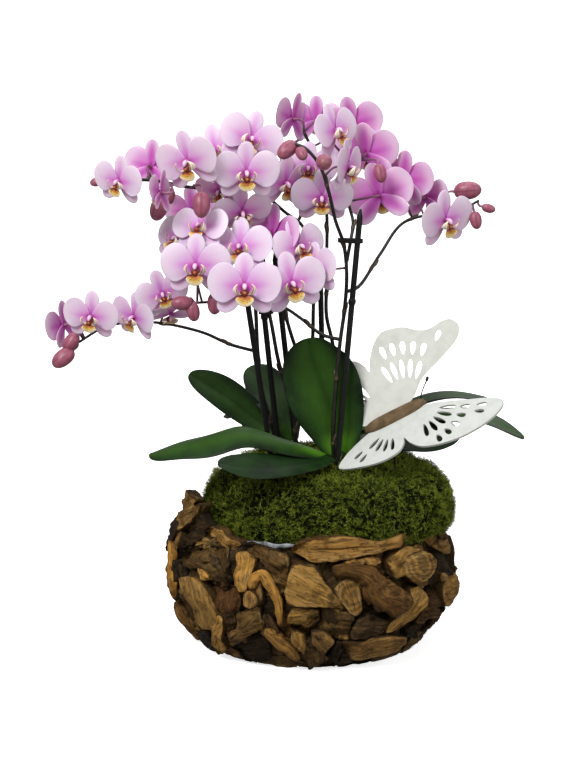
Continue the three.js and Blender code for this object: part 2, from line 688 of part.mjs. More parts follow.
function bloomShape() {
  const { core, tip, sepal, petal, lip, sepalLift, petalLift } = BLOOM;
  const mirrored = petal.map(([across, reach]) => [-across, reach]).reverse();
  const blades = {
    1: { level: 0, thickness: 1.1, outline: bladePoints(sepal, 90, 0.1, sepalLift) },
    3: { level: 0, thickness: 1.1, outline: bladePoints(sepal, 222, 0.1, sepalLift) },
    5: { level: 0, thickness: 1.1, outline: bladePoints(sepal, 318, 0.1, sepalLift) },
    0: { level: 1, thickness: 1.1, outline: bladePoints(petal, 8, 1.2, petalLift) },
    2: { level: 1, thickness: 1.1, outline: bladePoints(mirrored, 172, 1.2, petalLift) },
    4: { level: 1, thickness: 1.6, outline: lip.map(([x, y, z]) => vec([-x, -y, z])) },
  };
  const points = core.flatMap(([z, radius]) => Array.from({ length: 6 }, (_, i) => (
    vec([radius * Math.cos((i * Math.PI) / 3), radius * Math.sin((i * Math.PI) / 3), z]))));
  points.push(vec(tip));
  const faces = [];
  const apex = points.length - 1;
  const top = (core.length - 1) * 6;
  for (let side = 0; side < 6; side += 1) {
    const next = (side + 1) % 6;
    faces.push(top + side, top + next, apex);
    if (side > 0 && side < 5) faces.push(0, side + 1, side);
    for (let level = 0; level < core.length - 1; level += 1) {
      const [a, b] = [level * 6 + side, level * 6 + next];
      if (blades[side].level === level) {
        addBlade(points, faces, [a, b, a + 6, b + 6], blades[side]);
      } else {
        faces.push(a, b, b + 6, a, b + 6, a + 6);
      }
    }
  }
  return indexed(points, faces);
}

// Grows a blade from one side of the core: front and back alike, rung by rung, and its rim.
function addBlade(points, faces, [a, b, frontA, frontB], { outline, thickness }) {
  const start = points.length;
  const count = outline.length;
  const behind = vec([0, 0, -thickness]);
  points.push(...outline, ...outline.map((p) => p.clone().add(behind)));
  const front = [frontA, ...outline.map((_, i) => start + i), frontB];
  const back = [a, ...outline.map((_, i) => start + count + i), b];
  const last = front.length - 1;
  for (let i = 0; i < last; i += 1) {
    faces.push(front[i], back[i], back[i + 1], front[i], back[i + 1], front[i + 1]);
  }
  for (let i = 0; i < last - i; i += 1) {
    const j = last - i;
    if (i + 1 < j) {
      faces.push(front[i], front[i + 1], front[j], back[i], back[j], back[i + 1]);
      if (i + 1 < j - 1) {
        faces.push(front[i + 1], front[j - 1], front[j], back[i + 1], back[j], back[j - 1]);
      }
    }
  }
}

const BLOOM_BACK = 1;

const facing = ([, , , azimuth, lift]) => {
  const [turn, rise] = [THREE.MathUtils.degToRad(azimuth), THREE.MathUtils.degToRad(lift)];
  return vec([Math.sin(turn) * Math.cos(rise), -Math.cos(turn) * Math.cos(rise), Math.sin(rise)]);
};

function bloomFrame(row) {
  const [, , centre, , , roll, size] = row;
  const out = facing(row);
  const side = UP.clone().cross(out).normalize();
  const frame = new THREE.Matrix4().makeBasis(side, out.clone().cross(side), out);
  frame.multiply(new THREE.Matrix4().makeRotationZ(THREE.MathUtils.degToRad(roll)));
  frame.scale(vec([size, size, size]));
  return frame.setPosition(vec(centre));
}

const bloom = (row) => solid(bloomShape().applyMatrix4(bloomFrame(row)));

function bud([, centre, direction, length]) {
  const outline = [[0, -0.5], [0.26, -0.3], [0.33, 0.1], [0, 0.5]].map(([r, h]) => new THREE.Vector2(r, h));
  const shape = new THREE.LatheGeometry(outline, 5).scale(length, length, length);
  const turn = new THREE.Quaternion().setFromUnitVectors(vec([0, 1, 0]), vec(direction).normalize());
  return solid(shape.applyQuaternion(turn).translate(...centre));
}

// The upper half of a stem or branch, as the straight stretches that its rod is made of.
function flowering(path) {
  const curve = new THREE.CatmullRomCurve3(path.map(vec), false, 'centripetal');
  const joints = curve.getSpacedPoints(Math.max(1, Math.round(curve.getLength() / STEM.step)));
  const stretches = joints.slice(1).map((joint, i) => new THREE.Line3(joints[i], joint));
  return stretches.slice(Math.floor(joints.length / 2) - 1);
}

function nearestOn(stretches, point) {
  const found = stretches.map((stretch) => stretch.closestPointToPoint(point, true, new THREE.Vector3()));
  return found.reduce((best, at) => (at.distanceTo(point) < best.distanceTo(point) ? at : best));
}

// A stalk from the spike to the back of a bloom or bud, leaving the tip along its axis.
function stalk(stretches, tip, away, reach) {
  const bend = tip.clone().addScaledVector(away, reach);
  const root = nearestOn(stretches, bend);
  return rod([tip, bend, root], STEM.stalk, 3, tip.distanceTo(root) / 2);
}

function flowerSpike(number) {
  const { stem, branches } = SPIKES[number];
  const stretches = [stem, ...branches].flatMap(flowering);
  const parts = [rod(stem.map(vec), STEM.radius), ...branches.map((path) => (
    rod(path.map(vec), STEM.branch, STEM.branchSides)))];
  const id = Number(number);
  BUDS.filter(([spike]) => spike === id).forEach((row) => {
    const away = vec(row[2]).normalize().negate();
    parts.push(bud(row), stalk(stretches, vec(row[1]), away, row[3] * 0.7));
  });
  BLOOMS.filter(([, spike]) => spike === id).forEach((row) => {
    const away = facing(row).negate();
    const tip = vec(row[2]).addScaledVector(away, BLOOM_BACK * row[6] + GAP);
    parts.push(stalk(stretches, tip, away, 10));
  });
  return join(parts);
}

// Butterfly

function butterflyFrame() {
  const { azimuth, rise } = BUTTERFLY;
  const [turn, lift] = [THREE.MathUtils.degToRad(azimuth), THREE.MathUtils.degToRad(rise)];
  const along = vec([Math.cos(lift) * Math.cos(turn), Math.cos(lift) * Math.sin(turn), Math.sin(lift)]);
  const side = along.clone().cross(UP).normalize();
  return { along, side, up: side.clone().cross(along) };
}

const onBody = (distance) => vec(BUTTERFLY.centre).addScaledVector(butterflyFrame().along, distance);

function butterflyBody(grow = 0) {
  const { tail, head, bodyRadius } = BUTTERFLY;
  const rows = [[tail, 0.65], [tail + 10, 0.95], [-18, 1], [0, 0.9], [head, 0.6]];
  const { side, up } = butterflyFrame();
  const rings = rows.map(([at, share]) => Array.from({ length: 8 }, (_, i) => {
    const turn = (2 * Math.PI * i) / 8;
    const radius = bodyRadius * share + grow;
    return onBody(at).addScaledVector(side, radius * Math.cos(turn))
      .addScaledVector(up, radius * Math.sin(turn));
  }));
  return solid(skin(rings.reverse()));
}

// A wing plate: outline and cut-outs in [along the body, out from it].
function wing(outline, holes, lift, flip) {
  const shape = new THREE.Shape(outline.map(([a, n]) => new THREE.Vector2(a, n)));
  shape.holes = holes.map((hole) => new THREE.Path(hole.map(([a, n]) => new THREE.Vector2(a, n))));
  const { thickness } = BUTTERFLY;
  const plate = slab(shape, thickness);
  const { along, side, up } = butterflyFrame();
  const angle = THREE.MathUtils.degToRad(lift);
  const out = side.clone().multiplyScalar(flip * Math.cos(angle)).addScaledVector(up, Math.sin(angle));
  const frame = new THREE.Matrix4().makeBasis(along, out, along.clone().cross(out));
  frame.setPosition(vec(BUTTERFLY.centre).addScaledVector(along.clone().cross(out), -thickness / 2));
  return solid(plate.applyMatrix4(frame)).subtract(butterflyBody(GAP));
}

// A pointed oval cut-out: middle, length, width and the direction it points, in degrees.
function slot(a, n, length, width, degrees) {
  const turn = THREE.MathUtils.degToRad(degrees);
  return [[0.5, 0], [0.05, 0.5], [-0.45, 0.24], [-0.45, -0.24], [0.05, -0.5]].map(([l, w]) => [
    a + l * length * Math.cos(turn) - w * width * Math.sin(turn),
    n + l * length * Math.sin(turn) + w * width * Math.cos(turn),
  ]);
}

const NEAR_WING = {
  outline: [[-42, 3], [-63, 10], [-81, 21], [-87, 29], [-64, 42], [-44, 47], [-28, 45], [-21, 37], [-20, 31],
    [-15, 42], [-6, 53], [15, 62], [38, 65], [62, 61], [76, 52], [77, 45], [66, 35], [49, 25], [28, 13],
    [8, 4]],
  holes: [
    slot(22.6, 22.5, 34, 7.5, 30), slot(16.5, 30.1, 34, 8, 47), slot(8, 34.8, 32, 8, 64),
    slot(-2, 34.7, 26, 7.5, 82), slot(42.9, 44.2, 18, 7.5, 38), slot(30.5, 51.1, 15, 7, 51),
    slot(18.1, 55.4, 11, 6.5, 64), slot(62, 49, 15, 7, 28), slot(-56, 16.5, 24, 5.5, 158),
    slot(-50.4, 23.7, 24, 6.5, 139), slot(-42.1, 27.9, 22, 6.5, 119), slot(-71, 28, 18, 6, 25),
  ],
};
const FAR_WING = {
  outline: [[-2, 7], [17, 21], [42, 30], [65, 41], [70, 50], [66, 58], [57, 60], [44, 59], [34, 63], [24, 71],
    [13, 75], [2, 76], [-11, 67], [-20, 55], [-24, 48], [-26, 56], [-32, 64], [-42, 65], [-57, 57], [-72, 42],
    [-76, 30], [-62, 12], [-42, 3]],
  holes: [
    slot(18, 28.3, 30, 7, 38), slot(12.1, 36.7, 32, 8, 55), slot(1.9, 40.5, 30, 8, 73),
    slot(-9.1, 40, 26, 7, 92), slot(41.6, 46.8, 17, 8, 38), slot(24.3, 59.7, 12, 6, 58),
    slot(10.5, 65.1, 14, 7.5, 72), slot(61, 49.5, 11, 6, 35), slot(-54.5, 21, 22, 6.5, 150),
    slot(-50, 29.4, 24, 7.5, 130), slot(-41.8, 36.4, 26, 7, 109), slot(-62, 38, 14, 6, 60),
  ],
};

function antennaWires() {
  const { side, up, along } = butterflyFrame();
  const base = onBody(BUTTERFLY.head - 3).addScaledVector(up, 1);
  const fork = base.clone().addScaledVector(UP, 8);
  const tips = [[-5, 20], [5, 20]].map(([across, high]) => base.clone().addScaledVector(side, across)
    .addScaledVector(UP, high).addScaledVector(along, 6));
  const bead = (at) => solid(new THREE.OctahedronGeometry(1.7, 0).translate(at.x, at.y, at.z));
  return join([
    rod([tips[0], fork, base], 0.7, 4, 9),
    rod([tips[1], fork, base], 0.7, 4, 9),
    ...tips.map(bead),
  ]);
}

const PICK = { at: -22, radius: 1.2, foot: 128 };

function pickWire(grow = 0) {
  const top = onBody(PICK.at);
  const foot = vec([top.x, top.y, PICK.foot - grow]);
  return straightRod(foot, top, PICK.radius + grow, 6);
}

// Bands that tie a stem to its stake

const BAND_HEIGHT = 4;
const BANDS = [
  { stake: 2, spike: 2, height: 316 },
  { stake: 1, spike: 1, height: 372 },
  { stake: 5, spike: 6, height: 386 },
];

function pointAtHeight(from, to, height) {
  return from.clone().lerp(to, (height - from.z) / (to.z - from.z));
}

function stemAtHeight(path, height) {
  const top = path.findIndex(([, , z]) => z >= height);
  return pointAtHeight(vec(path[top - 1]), vec(path[top]), height);
}

function band({ stake, spike, height }, tools) {
  const [foot, tip] = STAKES[stake].map(vec);
  const a = pointAtHeight(foot, tip, height);
  const b = stemAtHeight(SPIKES[spike].stem, height);
  const middle = a.clone().add(b).multiplyScalar(0.5);
  const bearing = Math.atan2(b.y - a.y, b.x - a.x);
  const reach = a.distanceTo(b) / 2;
  const outline = [[reach + 1, 5], [reach + 4.6, 0], [reach + 1, -5], [-reach - 1, -5], [-reach - 5.4, 0],
    [-reach - 1, 5]].map(([x, y]) => new THREE.Vector2(x, y));
  const shape = slab(outline, BAND_HEIGHT);
  shape.rotateZ(bearing).translate(middle.x, middle.y, height - BAND_HEIGHT / 2);
  return cut(solid(shape), tools);
}

// Assembly

function plant(name, tools) {
  const leaves = LEAVES[name].map(leafBlade);
  return largestPiece(cut(join([crown(PLANTS[name]), ...leaves]), tools));
}

const stakes = Object.values(STAKES).map((points) => stakeRod(points));
const stakeSpaces = Object.values(STAKES).map((points) => stakeRod(points, STEM_CLEARANCE));
const stemSpaces = Object.values(SPIKES).map(({ stem: path }) => {
  const points = path.map(vec);
  points[0].addScaledVector(UP, -STEM_CLEARANCE);
  return rod(points, STEM.radius + STEM_CLEARANCE);
});
const crownSpaces = Object.values(PLANTS).map(({ crown: at, crownTop }) => {
  const radius = CROWN.radius + MOSS.roomForCrown;
  return turned([[0, POT.rim], [radius, POT.rim], [radius, crownTop], [0, crownTop]], CROWN.sides, at);
});

const arrangement = new THREE.Group();
arrangement.name = 'moth_orchid_in_basket';

arrangement.add(
  node('driftwood_basket', driftwoodBasket(), 'wood'),
  node('foil_liner', foilLiner(), 'foil'),
  node('potting_filler', pottingFiller(), 'bark'),
);

Object.entries(PLANTS).forEach(([name, { pot }]) => {
  arrangement.add(
    node(`nursery_pot_${name}`, nurseryPot(pot), 'pot'),
    node(`root_ball_${name}`, cut(rootBall(pot), stakeSpaces), 'roots'),
    node(`plant_${name}`, plant(name, [...stakeSpaces, ...stemSpaces]), 'leaf'),
  );
});

const potSpaces = Object.values(PLANTS).map(({ pot }) => potSpace(pot));
const moss = cut(mossCushion(), [...potSpaces, ...crownSpaces, ...stakeSpaces, pickWire(STEM_CLEARANCE)]);
arrangement.add(node('moss_cushion', moss, 'moss'));

Object.keys(STAKES).forEach((number, i) => {
  arrangement.add(node(`stake_${number}`, stakes[i], 'stake'));
});
Object.keys(SPIKES).forEach((number) => {
  arrangement.add(node(`flower_spike_${number}`, flowerSpike(number), 'stem'));
});
BANDS.forEach((row, i) => {
  arrangement.add(node(`tie_band_${i + 1}`, band(row, [...stakeSpaces, ...stemSpaces]), 'stake'));
});
const alone = BLOOMS.map(([name]) => [name]).filter(([name]) => !TOUCHING.flat().includes(name));
[...alone, ...TOUCHING].forEach((names) => {
  const rows = BLOOMS.filter(([name]) => names.includes(name));
  const label = names.length > 1 ? 'blooms' : 'bloom';
  arrangement.add(node(`${label}_${names.join('_')}`, join(rows.map(bloom)), 'petal'));
});

arrangement.add(
  node('butterfly_body', cut(butterflyBody(), [pickWire(GAP)]), 'plainWood'),
  node('butterfly_wing_near', wing(NEAR_WING.outline, NEAR_WING.holes, BUTTERFLY.nearLift, 1), 'paintedWood'),
  node('butterfly_wing_far', wing(FAR_WING.outline, FAR_WING.holes, BUTTERFLY.farLift, -1), 'paintedWood'),
  node('butterfly_antennae', antennaWires().subtract(butterflyBody(GAP)), 'wire'),
  node('butterfly_pick', pickWire(), 'wire'),
);

export default arrangement;
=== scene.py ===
"""Moth orchids in bloom in a round driftwood basket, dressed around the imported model.

Shapes are worked out in millimetres, as the solids are, and written to the meshes in metres.
+Z is up and the front looks along -Y.
"""

import logging
import math
from dataclasses import dataclass, field
from enum import Enum

import bmesh
import bpy
import numpy as np
from mathutils import Matrix


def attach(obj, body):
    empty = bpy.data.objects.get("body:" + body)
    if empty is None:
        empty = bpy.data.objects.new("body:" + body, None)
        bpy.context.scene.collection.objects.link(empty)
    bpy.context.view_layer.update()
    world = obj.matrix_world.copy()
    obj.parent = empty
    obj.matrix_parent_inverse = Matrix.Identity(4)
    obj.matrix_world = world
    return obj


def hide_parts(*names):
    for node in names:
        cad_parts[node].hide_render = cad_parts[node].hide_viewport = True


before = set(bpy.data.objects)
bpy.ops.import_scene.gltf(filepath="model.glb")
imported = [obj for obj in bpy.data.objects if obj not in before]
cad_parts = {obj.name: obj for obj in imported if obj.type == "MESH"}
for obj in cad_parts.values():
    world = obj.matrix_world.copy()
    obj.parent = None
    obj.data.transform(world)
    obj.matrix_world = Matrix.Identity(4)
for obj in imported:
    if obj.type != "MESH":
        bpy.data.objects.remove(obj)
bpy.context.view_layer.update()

MM = 0.001
LOG = logging.getLogger("orchid_basket")
Array = np.ndarray
Point = tuple[float, float, float]


# Shapes

@dataclass
class Surface:
    """A closed surface: its points in millimetres, its faces, and what each point and face carries."""

    points: Array
    quads: Array
    triangles: Array
    values: dict[str, Array] = field(default_factory=dict)
    finish: int = 0

    def moved(self, matrix: Array) -> "Surface":
        """The surface carried by a 4 x 4 matrix, given as rows."""
        points = self.points @ matrix[:3, :3].T + matrix[:3, 3]
        return Surface(points, self.quads, self.triangles, self.values, self.finish)

    def carrying(self, **values: float | Array) -> "Surface":
        """The same surface with more values on its points.

        Args:
            values: a number, or an array with one row for each point, by name.

        Returns:
            The surface itself.
        """
        count = len(self.points)
        for name, value in values.items():
            given = np.asarray(value, float)
            self.values[name] = np.broadcast_to(given, (count,) + given.shape[1:]).copy()
        return self


@dataclass
class Piece:
    """Surfaces that make one object of the scene."""

    parts: list[Surface]

    def build(self, name: str, materials: list[bpy.types.Material], slot: str, *nodes: str,
              smooth: bool = True) -> bpy.types.Object:
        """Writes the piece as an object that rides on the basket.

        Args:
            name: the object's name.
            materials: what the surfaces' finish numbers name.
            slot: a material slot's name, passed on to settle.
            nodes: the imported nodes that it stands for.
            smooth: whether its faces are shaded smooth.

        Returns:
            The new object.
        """
        offsets = np.cumsum([0] + [len(part.points) for part in self.parts])
        points = np.concatenate([part.points for part in self.parts]) * MM
        quads = np.concatenate([part.quads + start for part, start in zip(self.parts, offsets)])
        triangles = np.concatenate([part.triangles + start for part, start in zip(self.parts, offsets)])
        mesh = bpy.data.meshes.new(name)
        corners = np.concatenate([quads.ravel(), triangles.ravel()]).astype(np.int32)
        starts = np.concatenate([np.arange(len(quads)) * 4, len(quads) * 4 + np.arange(len(triangles)) * 3])
        mesh.vertices.add(len(points))
        mesh.vertices.foreach_set("co", points.astype(np.float32).ravel())
        mesh.loops.add(len(corners))
        mesh.loops.foreach_set("vertex_index", corners)
        mesh.polygons.add(len(starts))
        mesh.polygons.foreach_set("loop_start", starts.astype(np.int32))
        finishes = np.concatenate(
            [np.full(len(part.quads), part.finish) for part in self.parts]
            + [np.full(len(part.triangles), part.finish) for part in self.parts])
        mesh.polygons.foreach_set("material_index", finishes.astype(np.int32))
        mesh.polygons.foreach_set("use_smooth", np.full(len(starts), smooth))
        for material in materials:
            mesh.materials.append(material)
        self._write_values(mesh)
        mesh.update(calc_edges=True)
        mesh.validate()
        return settle(bpy.data.objects.new(name, mesh), slot, *nodes)

    def _write_values(self, mesh: bpy.types.Mesh) -> None:
        """Writes what the points carry.

        Args:
            mesh: the mesh, with its points.
        """
        names = {name: value.shape[1:] for part in self.parts for name, value in part.values.items()}
        for name, shape in names.items():
            rows = [part.values.get(name, np.zeros((len(part.points),) + shape)) for part in self.parts]
            kind, key = ("FLOAT_VECTOR", "vector") if shape else ("FLOAT", "value")
            layer = mesh.attributes.new(name, kind, "POINT")
            layer.data.foreach_set(key, np.concatenate(rows).astype(np.float32).ravel())


def settle(obj: bpy.types.Object, slot: str, *nodes: str) -> bpy.types.Object:
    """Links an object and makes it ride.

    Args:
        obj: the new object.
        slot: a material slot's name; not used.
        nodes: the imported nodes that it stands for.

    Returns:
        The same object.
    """
    bpy.context.scene.collection.objects.link(obj)
    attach(obj, "root")
    if nodes:
        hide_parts(*nodes)
    LOG.info("%s: %d faces", obj.name, len(obj.data.polygons))
    return obj


def dress(node: str, material: bpy.types.Material) -> None:
    """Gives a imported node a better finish, the only one that it then has."""
    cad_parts[node].data.materials.clear()
    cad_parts[node].data.materials.append(material)


def skin(rings: Array, start: Array, end: Array, finish: int = 0, **values: Array) -> Surface:
    """A closed skin: from a pole, through rings of points, to a pole at the other end.

    Each ring runs anticlockwise as seen from the starting pole's side, so that faces point outwards.

    Args:
        rings: points as (ring, point of the ring, 3).
        start: the first pole.
        end: the last pole.
        finish: which of the piece's finishes it takes.
        values: what the ring points carry; a pole carries the mean of its ring.

    Returns:
        The closed surface.
    """
    count, around = rings.shape[:2]
    points = np.concatenate([[start], rings.reshape(-1, 3), [end]])
    first = 1 + np.arange(count - 1)[:, None] * around
    here = np.arange(around)
    following = (here + 1) % around
    quads = np.stack([first + here, first + around + here, first + around + following, first + following], -1)
    last = 1 + (count - 1) * around
    fan = np.stack([np.zeros(around, int), 1 + here, 1 + following], -1)
    cap = np.stack([np.full(around, len(points) - 1), last + following, last + here], -1)
    carried = {}
    for name, value in values.items():
        flat = value.reshape((-1,) + value.shape[2:])
        carried[name] = np.concatenate([[value[0].mean(0)], flat, [value[-1].mean(0)]])
    return Surface(points, quads.reshape(-1, 4), np.concatenate([fan, cap]), carried, finish)


def unit(vectors: Array) -> Array:
    """Vectors scaled to length one, along the last axis."""
    return vectors / np.maximum(np.linalg.norm(vectors, axis=-1, keepdims=True), 1e-9)


def smoothstep(low: float, high: float, value: Array) -> Array:
    """Zero below low, one above high, and 3t^2 - 2t^3 between."""
    t = np.clip((value - low) / (high - low), 0, 1)
    return t * t * (3 - 2 * t)


def swell(points: Array, length: float, seed: int, waves: int = 8) -> Array:
    """Smooth uneven height from about -1 to 1: the sum of sines along random directions.

    Args:
        points: places as (..., 3).
        length: the typical wavelength, in millimetres.
        seed: the random seed.
        waves: how many sines.

    Returns:
        One height for each place.
    """
    rng = np.random.default_rng(seed)
    direction = unit(rng.normal(size=(waves, 3))) * rng.uniform(0.6, 1.7, (waves, 1)) * 2 * np.pi / length
    phase = rng.uniform(0, 2 * np.pi, waves)
    return np.sin(points @ direction.T + phase).sum(-1) / math.sqrt(waves)


def smooth_path(points: list[Point] | Array, count: int, closed: bool = False) -> Array:
    """Evenly spaced points on a centripetal Catmull-Rom curve through the given ones.

    Between two given points the curve is a Hermite cubic whose end slopes weigh the neighbours by the
    square root of the distances.

    Args:
        points: the points that it passes through.
        count: how many points to give.
        closed: whether the curve returns to its first point.

    Returns:
        The points, as (count, 3).
    """
    given = np.asarray(points, float)
    if closed:
        given = np.concatenate([given[-1:], given, given[:2]])
    else:
        given = np.concatenate([[2 * given[0] - given[1]], given, [2 * given[-1] - given[-2]]])
    gaps = np.sqrt(np.linalg.norm(np.diff(given, axis=0), axis=1))[:, None]
    before, at, after, beyond = given[:-3], given[1:-2], given[2:-1], given[3:]
    gap0, gap1, gap2 = gaps[:-2], gaps[1:-1], gaps[2:]
    slope1 = ((at - before) / gap0 - (after - before) / (gap0 + gap1) + (after - at) / gap1) * gap1
    slope2 = ((after - at) / gap1 - (beyond - at) / (gap1 + gap2) + (beyond - after) / gap2) * gap1
    t = np.linspace(0, 1, 24, endpoint=False)[None, :, None]
    cubic = ((2 * t ** 3 - 3 * t ** 2 + 1) * at[:, None] + (t ** 3 - 2 * t ** 2 + t) * slope1[:, None]
             + (3 * t ** 2 - 2 * t ** 3) * after[:, None] + (t ** 3 - t ** 2) * slope2[:, None])
    line = np.concatenate([cubic.reshape(-1, given.shape[1]), after[-1:]])
    return resampled(line, np.linspace(0, 1, count, endpoint=not closed))


def resampled(line: Array, shares: Array) -> Array:
    """Points at shares, from 0 to 1, of a polyline's length."""
    reach = np.concatenate([[0], np.cumsum(np.linalg.norm(np.diff(line, axis=0), axis=1))])
    return np.stack([np.interp(shares * reach[-1], reach, line[:, k]) for k in range(line.shape[1])], -1)


def slopes(line: Array, shares: Array) -> Array:
    """Unit directions of a polyline at shares, from 0 to 1, of its length."""
    ahead, behind = np.minimum(shares + 0.01, 1), np.maximum(shares - 0.01, 0)
    return unit(resampled(line, ahead) - resampled(line, behind))


def path_length(path: Array) -> float:
    """The length of a polyline."""
    return float(np.linalg.norm(np.diff(path, axis=0), axis=1).sum())


def frames(path: Array) -> tuple[Array, Array, Array]:
    """Directions along and across a path, turning no more than it must.

    Args:
        path: points as (count, 3).

    Returns:
        The unit tangents, and two unit vectors across them whose cross product points back.
    """
    along = unit(np.gradient(path, axis=0))
    lean = np.abs(along).max(0)
    across = unit(np.cross(along, np.eye(3)[int(np.argmin(lean))]))
    return along, across, np.cross(across, along)


def full_turn(count: int) -> Array:
    """Angles spaced evenly over one turn."""
    return np.linspace(0, 2 * np.pi, count, endpoint=False)


def ring_of(turn: Array, across: Array, up: Array) -> Array:
    """Circles of radius one across a path, as (place, angle, 3)."""
    return np.cos(turn)[None, :, None] * across[:, None] + np.sin(turn)[None, :, None] * up[:, None]


def tube(path: Array, radius: float | Array, sides: int = 10, finish: int = 0,
         **values: float | Array) -> Surface:
    """A round bar along a path: each point of the path carries a circle square to it.

    Args:
        path: points as (count, 3).
        radius: one radius, or one for each point.
        sides: points round the bar.
        finish: which of the piece's finishes it takes.
        values: what it carries, as numbers or one for each point of the path.

    Returns:
        The closed bar, with its ends slightly domed.
    """
    along, across, up = frames(path)
    radii = np.broadcast_to(np.asarray(radius, float), (len(path),))
    rings = path[:, None] + ring_of(full_turn(sides), across, up) * radii[:, None, None]
    carried = {name: np.broadcast_to(np.asarray(value, float).reshape(-1, 1), (len(path), sides))
               for name, value in values.items()}
    start = path[0] - along[0] * radii[0] * 0.5
    return skin(rings, start, path[-1] + along[-1] * radii[-1] * 0.5, finish, **carried)


def ribbon(path: Array, toward: Array, wide: Array, thick: float, finish: int = 0) -> Surface:
    """A thin band along a path: each point carries an ellipse, long towards one side.

    Args:
        path: points as (count, 3).
        toward: the unit direction of the band's width at each point.
        wide: half its width at each point.
        thick: half its thickness.
        finish: which of the piece's finishes it takes.

    Returns:
        The closed band.
    """
    along = unit(np.gradient(path, axis=0))
    normal = unit(np.cross(toward, along))
    turn = full_turn(12)
    rings = (path[:, None] + toward[:, None] * (np.cos(turn)[None] * wide[:, None])[..., None]
             + normal[:, None] * (np.sin(turn) * thick)[None, :, None])
    return skin(rings, rings[0].mean(0), rings[-1].mean(0), finish)


def turned(profile: list[tuple[float, float]], sides: int, centre: tuple[float, float] = (0, 0),
           finish: int = 0) -> Surface:
    """A turned solid: a profile of radius and height, from the axis at the top to the axis at the bottom.

    Args:
        profile: pairs of radius and height between the two ends on the axis.
        sides: points round it.
        centre: where its axis stands.
        finish: which of the piece's finishes it takes.

    Returns:
        The closed surface.
    """
    rows = np.asarray(profile, float)
    turn = full_turn(sides)
    inner = rows[1:-1]
    rings = np.stack([
        centre[0] + inner[:, :1] * np.cos(turn), centre[1] + inner[:, :1] * np.sin(turn),
        np.broadcast_to(inner[:, 1:], (len(inner), sides))], -1)
    return skin(rings, np.array([*centre, rows[0, 1]]), np.array([*centre, rows[-1, 1]]), finish)


# Finishes

class Socket:
    """A value in a material: an expression on values adds the nodes that work it out."""

    def __init__(self, shader: "Shader", link: bpy.types.NodeSocket) -> None:
        """Wraps the output of one of a material's nodes."""
        self.shader = shader
        self.link = link

    def math(self, operation: str, *others: "Socket | float") -> "Socket":
        """One Math node, with this value first and the others after it."""
        inputs = {index: value for index, value in enumerate((self, *others))}
        return self.shader.node("ShaderNodeMath", {"operation": operation}, inputs)

    def __add__(self, other: "Socket | float") -> "Socket":
        """Sum."""
        return self.math("ADD", other)

    __radd__ = __add__

    def __sub__(self, other: "Socket | float") -> "Socket":
        """Difference."""
        return self.math("SUBTRACT", other)

    def __rsub__(self, other: float) -> "Socket":
        """Difference from a number."""
        return self.shader.node("ShaderNodeMath", {"operation": "SUBTRACT"}, {0: other, 1: self})

    def __mul__(self, other: "Socket | float") -> "Socket":
        """Product."""
        return self.math("MULTIPLY", other)

    __rmul__ = __mul__

    def __truediv__(self, other: "Socket | float") -> "Socket":
        """Quotient."""
        return self.math("DIVIDE", other)

    def __pow__(self, other: "Socket | float") -> "Socket":
        """Power."""
        return self.math("POWER", other)

    def sine(self) -> "Socket":
        """Sine."""
        return self.math("SINE")

    def size(self) -> "Socket":
        """Absolute value."""
        return self.math("ABSOLUTE")

    def between(self, low: float, high: float, start: float = 0.0, end: float = 1.0) -> "Socket":
        """Eased from start to end as this value goes from low to high."""
        ends = {"Value": self, "From Min": low, "From Max": high, "To Min": start, "To Max": end}
        return self.shader.node("ShaderNodeMapRange", {"interpolation_type": "SMOOTHSTEP"}, ends)


Colour = tuple[float, float, float]


def paint(red: int, green: int, blue: int) -> Colour:
    """A colour given as it looks on a screen, from 0 to 255, as the linear values that nodes take."""
    shares = [part / 255 for part in (red, green, blue)]
    return tuple(s / 12.92 if s <= 0.04045 else ((s + 0.055) / 1.055) ** 2.4 for s in shares)


